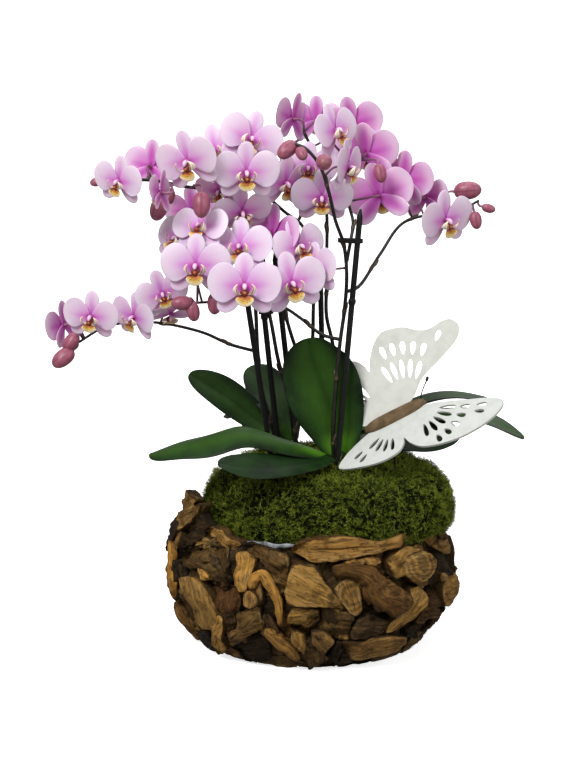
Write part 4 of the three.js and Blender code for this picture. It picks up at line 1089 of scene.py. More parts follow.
    def broken_planes(self, off: Array, outline: Array, cut: Cut) -> Array:
        """How far a face drops where it is broken off at a slant.

        Each plane falls outwards in its own direction, from a share of the way to the outline there, and
        the lowest one counts.

        Args:
            off: places on the face, from its middle.
            outline: its outline, from its middle.
            cut: what it turns outwards.

        Returns:
            The drop at each place, zero or less.
        """
        count, slopes, starts = {
            SAWN: (2, (0.3, 0.8), (0.45, 0.85)), ROUND: (1, (0.1, 0.3), (0.5, 0.8)),
            BROKEN: (4, (0.25, 0.7), (0.0, 0.55)), BARK: (3, (0.2, 0.6), (0.0, 0.5))}[cut]
        turn = (self.rng.uniform(0, 2 * np.pi) + np.arange(count) * 2 * np.pi / count
                + self.rng.normal(0, 0.35, count))
        way = np.stack([np.cos(turn), np.sin(turn)])
        reach = (outline @ way).max(0)
        planes = -self.rng.uniform(*slopes, count) * (off @ way - self.rng.uniform(*starts, count) * reach)
        return np.minimum(planes.min(-1), 0)

    def worn_outline(self, corners: Array, wear: float, around: int) -> Array:
        """A polygon whose corners are cut to short curves, as evenly spaced points.

        Args:
            corners: its corners, anticlockwise.
            wear: how far along each side a corner's curve reaches.
            around: how many points.

        Returns:
            The outline's points.
        """
        before, after = np.roll(corners, 1, 0), np.roll(corners, -1, 0)
        start, end = corners + (before - corners) * wear, corners + (after - corners) * wear
        t = np.linspace(0, 1, 6)[None, :, None]
        bends = (1 - t) ** 2 * start[:, None] + 2 * t * (1 - t) * corners[:, None] + t ** 2 * end[:, None]
        loop = bends.reshape(-1, 2)
        loop = np.concatenate([loop, loop[:1]])
        return resampled(loop, np.linspace(0, 1, around, endpoint=False))

    def limb(self, row: Limb) -> Surface:
        """A stick: rings round its line, with fibres along it, swellings, and rough ends.

        Args:
            row: the stick.

        Returns:
            Its surface.
        """
        line = np.array([(a * self.per_degree, h, r) for a, h, r in row.line])
        rows = 44
        path = smooth_path(line, rows)
        centres = self.on_bowl(np.concatenate([path[:, :2], np.full((rows, 1), float(row.stands))], 1))
        along, _, _ = frames(centres)
        out = unit(centres * [1, 1, 0])
        side = unit(np.cross(along, out))
        turn = full_turn(28)
        reach = path[:, 2:3] * (1 - 0.35 * np.abs(np.linspace(-1, 1, rows)[:, None]) ** 9)
        circle = ring_of(turn, side, np.cross(side, along))
        length = np.linspace(0, path_length(centres), rows)
        grain = np.stack(np.broadcast_arrays(length[:, None], np.cos(turn)[None] * path[:, 2:3],
                                             np.sin(turn)[None] * path[:, 2:3]), -1)
        grain = grain + self.rng.uniform(-200, 200, 3)
        bumps = (swell(grain * [0.1, 1, 1], 4.0, int(self.rng.integers(1e6))) * 0.35
                 + swell(grain, 14, 3) * 0.08 * reach)
        rings = centres[:, None] + circle * (reach + bumps)[..., None]
        rings[..., 2] = np.maximum(rings[..., 2], 0)
        inside = np.minimum(np.arange(rows), np.arange(rows)[::-1])[:, None] / 3
        surface = skin(rings[::-1], rings[-1].mean(0), rings[0].mean(0), grain=grain,
                       face=np.broadcast_to(np.clip(inside, 0.25, 1), grain.shape[:2]))
        return surface.carrying(tone=row.tone, rings=0.0, hue=0.9, edge=0.0)

    def wall(self) -> Surface:
        """The rough wall that the pieces stand on, a turned bowl with an uneven skin, coloured near black as
        painted shade for the gaps between the pieces.

        Returns:
            Its surface.
        """
        outer = smooth_path([(r - 1, z) for r, z in self.outer], 16)
        inner = smooth_path([(r + 1, z) for r, z in self.inner], 10)
        rows = [(0, 0), *map(tuple, outer), *map(tuple, inner), (0, self.floor_thickness)]
        bowl = turned(rows[::-1], 120)
        rough = swell(bowl.points, 9, 5) * 0.8
        out = unit(bowl.points * [1, 1, 0])
        low = (bowl.points[:, 2] > 1)[:, None]
        bowl.points = bowl.points + out * rough[:, None] * low
        # Painted shade: the wall is coloured near black, so the gaps between the pieces show it as shade.
        return bowl.carrying(grain=bowl.points, face=0.3, tone=0.08, rings=0.0, hue=0.6, edge=0.0)

    def comb(self) -> list[tuple[float, list, float, tuple[float, float]]]:
        """The uneven honeycomb of pieces round the bowl.

        Each level has nodes in zigzag, moved a little at random. A cell takes three of the level under it
        and three of the one above, and each row is shifted by half a cell.

        Returns:
            For each cell its middle angle, its corners, how far it stands out and its lean.
        """
        nodes = [[self._moved(j, level, height) for j in range(2 * self.cells)]
                 for level, height in enumerate(self.levels)]
        cells = []
        for row in range(len(self.levels) - 1):
            for i in range(self.cells):
                first = 2 * i + row % 2
                corners = [self._node(nodes[row], first + k) for k in (0, 1, 2)]
                corners += [self._node(nodes[row + 1], first + k) for k in (2, 1, 0)]
                stands = self.draw(*self.cell_stands)
                cells.append((sum(a for a, _ in corners) / 6, corners, stands, self._lean(self.cell_lean)))
        return cells

    def _moved(self, j: int, level: int, height: float) -> tuple[float, float]:
        """A level's node, moved at random; the lowest level stays at the foot.

        Args:
            j: its number in its level.
            level: which level.
            height: the level's height.

        Returns:
            Its degrees and height.
        """
        turn, rise = self.draw(-0.25, 0.25), self.draw(-self.node_shift, self.node_shift)
        zigzag = -self.zigzag if (j + level) % 2 else self.zigzag
        return (j + turn) * 180 / self.cells, height + zigzag + rise if level > 0 else 0.0

    @staticmethod
    def _node(level: list, index: int) -> tuple[float, float]:
        """A level's node, counted on past the full turn."""
        angle, height = level[index % len(level)]
        return angle + 360 * (index // len(level)), height

    def _lean(self, most: float) -> tuple[float, float]:
        """How a face leans round the bowl and upwards."""
        return self.draw(-most, most), self.draw(-most, most)

    def build(self) -> None:
        """Builds the wall, the front pieces, the honeycomb behind and the chips between."""
        wood = WoodFinish().material()
        cells = self.comb()
        front = [self.chunk(row, self._lean(self.front_lean)) for row in FRONT_WOOD]
        front += [self.limb(row) for row in LIMBS]
        sides, behind = [], []
        for middle, corners, stands, lean in cells:
            cut = list(Cut)[int(self.rng.choice(4, p=self.cut_shares))]
            if 0 <= middle % 360 <= 180:
                sides.append(self.chunk(Chunk(stands, -1, cut, corners), lean, 40))
            else:
                # Painted shade: the honeycomb under the front pieces stands low and is coloured dark, so the
                # gaps at the front show it as shade.
                row = Chunk(stands * 0.35, self.rng.uniform(0.03, 0.35), BROKEN, corners)
                behind.append(self.chunk(row, lean, 40))
        chips = [self.chip() for _ in range(self.chips)]
        Piece([self.wall()]).build("basket_wall", [wood], "driftwood")
        Piece(front).build("front_driftwood", [wood], "driftwood", "driftwood_basket")
        Piece(sides).build("side_driftwood", [wood], "driftwood")
        Piece(behind + chips).build("driftwood_slivers", [wood], "driftwood")

    def chip(self) -> Surface:
        """A small piece: over the seams at the sides and back, deep in the gaps at the front.

        Returns:
            Its surface.
        """
        uniform = self.rng.uniform
        side = self.rng.random() < 0.5
        angle = uniform(4, 178) if side else uniform(-178, 0)
        height = uniform(10, 112)
        turn, long, wide = uniform(0, np.pi), uniform(9, 19), uniform(4, 8)
        reach = np.sort(uniform(0, 2 * np.pi, 6) * 0.25 + np.arange(6) * np.pi / 3 * 0.97)
        corners = [(angle + (a * math.cos(turn) - b * math.sin(turn)) / self.per_degree,
                    max(0.0, height + a * math.sin(turn) + b * math.cos(turn)))
                   for a, b in zip(np.cos(reach) * long, np.sin(reach) * wide)]
        stands = uniform(13, 20) if side else uniform(6, 12)
        tone = uniform(0.2, 0.85) if side else uniform(0.15, 0.6)
        cut = SAWN if self.rng.random() < 0.5 else BROKEN
        return self.chunk(Chunk(stands, tone, cut, corners), (uniform(-0.25, 0.25), uniform(-0.25, 0.25)), 24)


# Planting

@dataclass
class Planting:
    """What the basket holds: a film liner, bark filler, and the nursery pots with their root balls."""

    rim: float = 117.5
    strips: tuple = ((-121, -97, 118.5, 2.2), (-160, -149, 119.5, 1.8))

    def strip(self, start: float, end: float, height: float, wide: float) -> Surface:
        """A crinkled strip of film that looks out over the rim.

        Args:
            start: where it starts, in degrees round the bowl.
            end: where it ends.
            height: its middle's height.
            wide: half its width.

        Returns:
            The surface.
        """
        turn = np.radians(np.linspace(start, end, 40))
        share = np.linspace(0, 1, 40)
        plain = np.stack([turn * 100, 0 * turn, 0 * turn], -1)
        radius = self.rim + 1.2 * swell(plain, 14, 5)
        path = np.stack([radius * np.cos(turn), radius * np.sin(turn), height + swell(plain, 20, 6)], -1)
        tilt = 0.5 + 0.4 * swell(plain, 11, 7)[:, None]
        toward = unit(np.array([0, 0, 1.0]) + tilt * np.stack([np.cos(turn), np.sin(turn), 0 * turn], -1))
        return ribbon(path, toward, wide * np.sin(np.pi * share) ** 0.4 + 0.1, 0.3)

    def build(self) -> None:
        """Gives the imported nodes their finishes, and lays the strips of film."""
        finishes = {"foil_liner": FILM_FINISH, "potting_filler": BARK_FINISH}
        for side in ("left", "right", "front"):
            finishes[f"nursery_pot_{side}"] = POT_FINISH
            finishes[f"root_ball_{side}"] = ROOT_FINISH
        made = {finish.name: finish.material() for finish in set(finishes.values())}
        for node, finish in finishes.items():
            dress(node, made[finish.name])
        strips = [self.strip(*row) for row in self.strips]
        Piece(strips).build("film_at_the_rim", [made[FILM_FINISH.name]], "liner_film")


@dataclass
class MossBed:
    """A cushion of moss: a lumpy dome set all over with small fronds of needle leaves."""

    centre: tuple = (16, 0)
    profile: tuple = ((113, 116.7), (117, 122), (117, 136), (113, 149), (103, 161), (82, 169), (44, 174))
    top: float = 176
    lump: float = 2.6
    fronds: int = 15000
    leaves: int = 5
    pieces: int = 3

    def dome(self, angle: Array, share: Array) -> tuple[Array, Array]:
        """Places on the dome and the outward directions there.

        Args:
            angle: round the centre, in radians.
            share: from 0 at the foot to 1 at the top, along the profile.

        Returns:
            Points and unit normals.
        """
        line = smooth_path([*self.profile, (0, self.top)], 80)
        row = resampled(line, share)
        slope = slopes(line, share)
        flat = np.stack([np.cos(angle), np.sin(angle)], -1)
        points = np.concatenate([flat * row[:, :1] + self.centre, row[:, 1:]], -1)
        normals = np.concatenate([flat * slope[:, 1:], -slope[:, :1]], -1)
        bumps = swell(points, 38, 11) * self.lump * 0.6 + swell(points, 15, 12) * 1.2
        return points + normals * (bumps - 1.0)[:, None], normals

    def bed(self) -> Surface:
        """The dark dome under the fronds, in the colour of the strands' feet, painted shade beneath them.

        Returns:
            Its surface.
        """
        sides, rows = 110, 34
        turn = full_turn(sides)
        shares = np.linspace(0.97, 0, rows)
        points, _ = self.dome(np.tile(turn, rows), np.repeat(shares, sides))
        rings = points.reshape(rows, sides, 3)
        foot = np.array([*self.centre, self.profile[0][1]])
        closing = foot + (rings[-1] - foot) * [[0.5, 0.5, 1]]
        rings = np.concatenate([rings, closing[None]])
        return skin(rings, rings[0].mean(0), foot).carrying(tip=0.05, tone=0.3)

    def frond_set(self, count: int, seed: int) -> Surface:
        """Many fronds at once.

        A frond's stem is a quadratic curve that leaves the bed sideways and turns up. Along it stand
        needle leaves, left and right in turn, each a three-sided spike of four faces.

        Args:
            count: how many fronds.
            seed: the random seed.

        Returns:
            One surface of separate closed spikes.
        """
        rng = np.random.default_rng(seed)
        angle = rng.uniform(0, 2 * np.pi, count)
        reach = rng.uniform(0, 1, count)
        share = 1 - np.sqrt(reach) * 0.999
        foot, normal = self.dome(angle, share)
        sideways = unit(np.cross(normal, rng.normal(size=(count, 3))))
        flow = unit(np.cross(normal, np.stack([swell(foot, 46, part) for part in (21, 22, 23)], -1)))
        lean = unit(flow * 0.35 + sideways)
        length = (rng.uniform(3.6, 6.4, count) * (1 + 0.9 * rng.random(count) ** 6))[:, None]
        t = ((np.arange(self.leaves) + 0.7) / self.leaves)[None, :, None]
        stem = (foot[:, None] + lean[:, None] * length[:, None] * t * 0.6
                + normal[:, None] * length[:, None] * (0.1 + 0.62 * t))
        heading = unit(lean[:, None] * 0.6 + normal[:, None] * np.ones((count, self.leaves, 1)))
        wing = unit(np.cross(heading, normal[:, None] + 0.3 * sideways[:, None]))
        flip = np.where(np.arange(self.leaves) % 2 == 0, 1.0, -1.0)[None, :, None]
        jitter = rng.normal(0, 0.4, (count, self.leaves, 3))
        outward = unit(heading * 0.55 + wing * flip * 0.85 + normal[:, None] * 0.2 + jitter)
        long = length[:, None] * (0.6 - 0.2 * t) * rng.uniform(0.75, 1.3, (count, self.leaves, 1))
        wide = 0.21 + 0.1 * rng.random((count, self.leaves, 1))
        broad = unit(np.cross(outward, normal[:, None]))
        thick = np.cross(broad, outward)
        corners = np.stack([
            stem + broad * wide, stem - broad * wide * 0.5 + thick * wide * 0.7,
            stem - broad * wide * 0.5 - thick * wide * 0.7, stem + outward * long], 2)
        points = corners.reshape(-1, 3)
        first = np.arange(count * self.leaves)[:, None] * 4
        faces = np.array([[0, 2, 1], [0, 1, 3], [1, 2, 3], [2, 0, 3]])
        triangles = (first[:, :, None] + faces[None]).reshape(-1, 3)
        depth = 0.25 + 0.55 * np.broadcast_to(t, (count, self.leaves, 1))
        tips = np.concatenate([depth, depth, depth, depth + 0.2], -1).reshape(-1)
        # Painted light: strands on the crowns of the dome's clumps get paler tips and those in the creases
        # darker ones, on the same bumps as the dome's, with a random spread.
        painted_clump_light = 0.55 + 0.3 * swell(foot, 15, 12)
        tone = np.repeat(np.clip(painted_clump_light + rng.normal(0, 0.22, count), 0, 1), self.leaves * 4)
        return Surface(points, np.zeros((0, 4), int), triangles, {"tip": tips, "tone": tone})

    def build(self) -> None:
        """Builds the bed and the fronds."""
        moss = MossFinish().material()
        Piece([self.bed()]).build("moss_bed", [moss], "moss", "moss_cushion")
        for number in range(self.pieces):
            fronds = self.frond_set(self.fronds // self.pieces, 100 + number)
            Piece([fronds]).build(f"moss_fronds_{number + 1}", [moss], "moss", smooth=False)


# Plants

@dataclass
class Leaf:
    """One leaf: the line of its middle, its width, the way its face looks, how its edges rise, and its painted
    light, how much lighter green its middle takes for how brightly it is lit.
    """

    spine: list
    width: float
    face: Point
    fold: float
    # Painted light: how much lighter green the leaf's middle takes.
    light: float = 0.25


@dataclass
class Plants:
    """Three plants: short bases and thick leaves."""

    crowns: dict = field(default_factory=lambda: {
        "left": ((-23, 12), 190), "right": ((40, 54), 192), "front": ((25, -27), 190)})
    middle: float = 2.6
    edge: float = 1.1
    # The last number of a leaf's row, where given, is its painted light.
    leaves: dict = field(default_factory=lambda: {
        "left": [
            Leaf([(-28, 20, 188), (-54, 29, 206), (-86, 34, 230), (-119, 38, 249)],
                 37, (0.2, -0.75, 0.65), 0.12, 0.5),
            Leaf([(-20, 20, 188), (-30, 40, 214), (-46, 58, 236), (-62, 70, 250)],
                 46, (0.3, -0.8, 0.5), 0.1, 0.35),
            Leaf([(-32, 18, 183), (-48, 22, 191), (-68, 24, 200)], 30, (0.2, -0.3, 0.9), 0.15, 0.15),
            Leaf([(-27, 20, 182), (-42, 50, 196), (-62, 78, 203), (-84, 98, 194)], 44, (0, 0, 1), 0.15),
        ],
        "right": [
            Leaf([(47, 56, 188), (90, 60, 209), (137, 62, 222), (173, 60, 221)], 40, (-0.2, 0, 1), 0.16),
            Leaf([(47, 50, 184), (110, 38, 206), (163, 28, 208), (205, 20, 189)],
                 44, (0, -0.1, 1), 0.12, 0.6),
            Leaf([(44, 46, 181), (88, 26, 192), (142, 10, 193)], 46, (0.1, -0.7, 0.7), 0.1, 0.1),
            Leaf([(43, 62, 184), (64, 92, 204), (92, 122, 206), (112, 138, 194)], 46, (0, 0, 1), 0.15),
            Leaf([(36, 61, 184), (16, 92, 206), (-6, 120, 214), (-24, 140, 206)], 46, (0, 0, 1), 0.15),
        ],
        "front": [
            Leaf([(17, -30, 183), (-17, -44, 197), (-67, -56, 212), (-108, -56, 203), (-152, -50, 188)],
                 52, (0, -0.2, 1), -0.3, 0.8),
            Leaf([(19, -36, 182), (-8, -64, 183), (-44, -92, 185), (-86, -106, 192)],
                 42, (-0.1, -0.45, 0.9), 0.1, 0.0),
            Leaf([(27, -31, 180), (22, -29, 207), (10, -29, 246), (0, -27, 274), (-4, -25, 294)],
                 71, (0, -1, 0.05), 0.16, 0.95),
            Leaf([(32, -22, 182), (50, -10, 190), (70, 4, 194)], 34, (0, 0, 1), 0.15),
        ],
    })

    def half_width(self, share: Array, width: float) -> Array:
        """Half-width along a leaf: a sine rise from a narrow neck, then an elliptical tip.

        Args:
            share: the way along it, from 0 to 1.
            width: its full width.

        Returns:
            The half-width at each share.
        """
        fullest = 0.6
        rise = 0.34 + 0.66 * np.sin(0.5 * np.pi * np.minimum(share, fullest) / fullest)
        tip = np.sqrt(np.clip(1 - ((share - fullest) / (1.004 - fullest)) ** 2, 0.0, 1))
        return width / 2 * np.where(share <= fullest, rise, tip)

    def blade(self, leaf: Leaf, seed: int) -> Surface:
        """A leaf's closed skin.

        Across, the upper side dips into a groove along the middle and rises by fold to the edges; the
        lower side follows it, thickest at the middle. Both sway a little along the length.

        Args:
            leaf: the leaf.
            seed: the sway's seed.

        Returns:
            The surface.
        """
        half_count = 13
        near_tip = 0.85 + 0.15 * np.sin(np.linspace(0.1, 0.5 * np.pi, 14))
        shares = np.concatenate([np.linspace(0, 0.85, 32), near_tip])
        line = smooth_path(leaf.spine, 160)
        centre = resampled(line, shares)
        along = slopes(line, shares)
        side = unit(np.cross(along, np.asarray(leaf.face, float)))
        up = unit(np.cross(side, along))
        half = self.half_width(shares, leaf.width)
        across = np.sin(np.linspace(0.5, -0.5, half_count) * np.pi)
        top = across[:-1]
        loop = np.concatenate([top, -top])
        upper = np.concatenate([np.ones(half_count - 1), np.zeros(half_count - 1)])
        rise = leaf.fold * np.abs(loop)[None] ** 1.4 * half[:, None]
        thick = self.edge + (self.middle - self.edge) * (1 - np.abs(loop) ** 2)
        groove = 0.9 * np.exp(-(loop / 0.07) ** 2) * (upper - 0.3)
        rounded = np.sqrt(np.clip(1 - np.abs(loop) ** 12, 0.05, 1))
        height = rise + np.where(upper > 0, 0.5, -0.5) * thick * rounded - groove
        height = height * np.minimum(1, half / 3)[:, None] ** 0.5
        sway = swell(centre, 60, seed)[:, None] * np.abs(loop)[None] * 0.05 * half[:, None]
        points = (centre[:, None] + side[:, None] * (loop[None] * half[:, None])[..., None]
                  + up[:, None] * (height + sway)[..., None])
        spot = np.stack(np.broadcast_arrays(shares[:, None] * 4, loop[None], upper[None]), -1)
        end = centre[-1] + along[-1] * 0.3
        return skin(points, centre[0] - along[0], end, blade=spot).carrying(light=leaf.light)

    def base(self, name: str) -> Surface:
        """A plant's short base, from the root ball to where the leaves part.

        Args:
            name: which plant.

        Returns:
            Its surface.
        """
        (x, y), top = self.crowns[name]
        rows = smooth_path([(0.1, top), (7, top - 3), (10.5, 176), (10.8, 165), (8.8, 151.6)], 12)
        shape = turned([(0, top), *map(tuple, rows[1:]), (0, 151.4)], 24, (x, y))
        spot = np.tile([0.4, 0.6, 1.0], (len(shape.points), 1))
        # The base takes a little painted light too.
        return shape.carrying(blade=spot, light=0.1)

    def build(self) -> None:
        """Builds each plant as one piece."""
        finish = LeafFinish().material()
        for number, (name, leaves) in enumerate(self.leaves.items()):
            blades = [self.blade(leaf, 10 * number + i) for i, leaf in enumerate(leaves)]
            Piece([self.base(name), *blades]).build(f"leaves_{name}", [finish], "leaf", f"plant_{name}")


# Flower spikes

STAKE_LINES = {
    1: ((-30, -1, 112), (-72, -16, 401)),
    2: ((-25, 7, 112), (-55, -10, 405)),
    3: ((-8, 27, 112), (-36, 9, 370)),
    4: ((14, 42, 112), (7, 26, 374)),
    5: ((17, -43, 112), (43, -38, 415)),
}

SPIKE_LINES = {
    1: [[(-29, 12, 168), (-41, 9, 211), (-48, 5, 239), (-52, 1, 279), (-54, -3, 321), (-60, -6, 360),
         (-68, -4, 395), (-81, -10, 417), (-98, -18, 431), (-118, -26, 435), (-149, -32, 441),
         (-186, -42, 441)],
        [(-52, 1, 277), (-78, 2, 284), (-102, 0, 295), (-125, -4, 302), (-144, -8, 306), (-171, -18, 308),
         (-195, -26, 304), (-218, -34, 291)]],
    2: [[(-17, 15, 168), (-17, 12, 212), (-32, 2, 267), (-38, -2, 300), (-42, -3, 322), (-45, -1, 356),
         (-50, 0, 384), (-62, 4, 409), (-76, 8, 432), (-88, 12, 456)]],
    3: [[(32, 57, 170), (20, 53, 196), (2, 40, 228), (-12, 30, 266), (-20, 22, 290), (-27, 18, 316),
         (-32, 17, 342), (-34, 15, 368), (-28, 14, 382), (-12, 24, 402), (-9, 34, 432)]],
    4: [[(37, 47, 170), (25, 42, 194), (15, 43, 216), (6, 41, 240), (1, 35, 270), (1, 27, 304),
         (0, 16, 368), (-10, 10, 396), (-26, 4, 409), (-49, -2, 430)]],
    5: [[(44, 49, 170), (40, 47, 200), (29, 44, 227), (20, 40, 280), (14, 36, 307), (14, 34, 340),
         (14, 34, 367), (14, 35, 402), (12, 36, 423), (4, 40, 456), (-8, 40, 482)]],
    6: [[(22, -33, 166), (19, -37, 196), (21, -38, 247), (25, -36, 292), (29, -32, 321), (31, -29, 354),
         (28, -30, 382), (20, -38, 405), (14, -48, 430), (5, -52, 456), (-8, -48, 471), (-19, -42, 475)],
        [(31, -28, 366), (35, -24, 387), (37, -18, 401), (33, -8, 418), (30, 2, 438), (37, 10, 452),
         (46, 14, 457)],
        [(31, -29, 338), (42, -24, 342), (63, -8, 371), (85, 4, 399), (119, 6, 408), (140, 4, 412),
         (155, 0, 420)],
        [(26, -35, 294), (8, -42, 300), (-12, -46, 316), (-30, -46, 327), (-67, -46, 333), (-92, -54, 332),
         (-108, -62, 332)]],
}

BUD_ROWS = [
    (1, (-197, -41, 440), (-1, 0, -0.2), 13),
    (1, (-131, -33, 426), (-0.2, 0.2, -1), 14),
    (1, (-141, -34, 416), (-0.4, 0, -1), 25),
    (1, (-101, -64, 421), (0, -0.3, -1), 24),
    (1, (-224, -38, 292), (-0.6, -0.2, -0.8), 20),
    (1, (-231, -42, 278), (-0.9, -0.3, -0.7), 24),
    (6, (-24, -42, 469), (-0.6, -0.4, -0.5), 22),
    (6, (-11, -50, 466), (0.3, -0.8, -0.5), 16),
    (6, (9, -62, 459), (0, -1, 0), 22),
    (6, (62, -12, 446), (0.2, -0.4, -1), 18),
    (6, (145, 6, 429), (1, -0.2, 0.1), 26),
    (6, (164, -2, 413), (0.7, -0.1, -0.2), 13),
    (6, (152, -4, 402), (0.2, -0.2, -1), 17),
    (6, (-119, -71, 333), (-0.8, -0.2, 0), 20),
    (6, (-109, -70, 325), (0.2, -0.2, -1), 18),
    (6, (-90, -60, 331), (0, -0.2, -1), 20),
]


@dataclass
class BloomRow:
    """One bloom: its spike, centre, the way it faces (degrees right of the front, and up), turn and size."""

    name: str
    spike: int
    centre: Point
    azimuth: float
    lift: float
    roll: float
    size: float
    tone: float = 0.25

    def facing(self) -> Array:
        """The direction that the bloom looks in."""
        turn, rise = math.radians(self.azimuth), math.radians(self.lift)
        return np.array([math.sin(turn) * math.cos(rise), -math.cos(turn) * math.cos(rise), math.sin(rise)])

    def matrix(self) -> Array:
        """The bloom's place, its top sepal up, turned in its own plane by roll.

        Returns:
            A 4 x 4 matrix, as rows.
        """
        out = self.facing()
        side = unit(np.cross([0.0, 0.0, 1.0], out))
        up = np.cross(out, side)
        turn = math.radians(self.roll)
        matrix = np.eye(4)
        matrix[:3, 0] = (side * math.cos(turn) + up * math.sin(turn)) * self.size
        matrix[:3, 1] = (-side * math.sin(turn) + up * math.cos(turn)) * self.size
        matrix[:3, 2] = out * self.size
        matrix[:3, 3] = self.centre
        return matrix


BLOOM_ROWS = [BloomRow(*row) for row in (
    ("a01", 1, (-174, -68, 442), -30, -8, -8, 0.8, 0.2),
    ("a02", 1, (-150, -12, 452), 165, -8, 5, 0.85, 0.4),
    ("a03", 1, (-137, -66, 432), -110, 0, 10, 0.7, 0.6),
    ("a04", 1, (-112, -62, 459), -25, -12, 12, 0.98, 0.1),
    ("a05", 2, (-61, -58, 449), 8, -6, 0, 0.95, 0.1),
    ("a06", 2, (-58, -24, 477), 15, 8, -20, 0.95, 0.15),
    ("a07", 1, (-90, -14, 466), -15, 12, 15, 0.9, 0.1),
    ("a08", 1, (-86, -36, 432), -20, -30, 0, 0.7, 0.2),
    ("a09", 1, (-112, -6, 410), -160, -25, 0, 0.85, 0.5),
    ("a10", 2, (-65, -36, 413), 10, -30, 10, 0.85, 0.3),
    ("a11", 4, (-26, -16, 437), 30, -15, 0, 0.9, 0.5),
    ("a12", 2, (-94, 18, 400), 95, -30, 0, 0.8, 0.5),
    ("a13", 3, (-38, -31, 392), 142, -6, 8, 0.93, 0.85),
    ("b01", 5, (-18, 46, 494), -125, 5, 10, 0.85, 0.4),
    ("b02", 5, (4, 60, 492), 175, -5, 0, 0.8, 0.5),
    ("b03", 6, (20, -8, 484), 46, 10, 10, 0.9, 0.3),
    ("b04", 3, (-4, -12, 450), -5, 5, 0, 0.85, 0.3),
    ("b05", 5, (8, -20, 424), 0, -12, 0, 0.9, 0.3),
    ("b06", 6, (30, -32, 452), 66, -5, 0, 0.9, 0.45),
    ("c01", 5, (38, 46, 488), 165, 8, -10, 0.95, 0.65),
    ("c02", 6, (50, 24, 462), 172, 4, -5, 1, 0.7),
    ("c03", 6, (62, 6, 424), 168, -4, -15, 1.05, 0.6),
    ("c04", 6, (86, 28, 438), 150, 4, 10, 0.95, 0.6),
    ("c05", 6, (122, -18, 403), 36, -8, 8, 0.95, 0.1),
    ("c06", 6, (108, 36, 420), 135, 0, 0, 0.85, 0.6),
    ("d01", 1, (-232, -22, 306), -120, -5, -10, 0.8, 0.45),
    ("d02", 1, (-203, -54, 318), -12, -8, -5, 0.82, 0.2),
    ("d03", 1, (-164, -42, 316), -40, -10, -10, 0.82, 0.2),
    ("d04", 1, (-138, -46, 338), 5, -5, 20, 0.78, 0.15),
    ("d05", 1, (-133, -30, 318), 20, -60, 0, 0.75, 0.4),
    ("e01", 6, (-106, -72, 366), -5, 2, 0, 1, 0.15),
    ("e02", 6, (-62, -92, 350), 2, 4, 0, 1.03, 0.35),
    ("e03", 6, (-20, -70, 350), 14, 2, 12, 1, 0.15),
    ("e04", 6, (-67, -52, 381), -8, 12, 0, 0.95, 0.2),
    ("e05", 6, (-124, -34, 386), -40, 20, -20, 0.85, 0.3),
    ("e06", 3, (-14, -40, 380), 35, 10, 10, 0.9, 0.5),
    ("e07", 6, (-103, -49, 399), -20, 25, 0, 0.85, 0.2),
    ("e08", 6, (1, -47, 360), -42, 4, 10, 0.88, 0.35),
)]

BLOOM_GROUPS = [["a04", "a05"], ["a08", "a10"], ["a09", "a12"], ["a11", "b04", "b05", "b06"], ["a13", "e04"],
                ["b01", "b02", "c01"], ["d04", "d05"], ["e03", "e08"], ["e05", "e07"]]


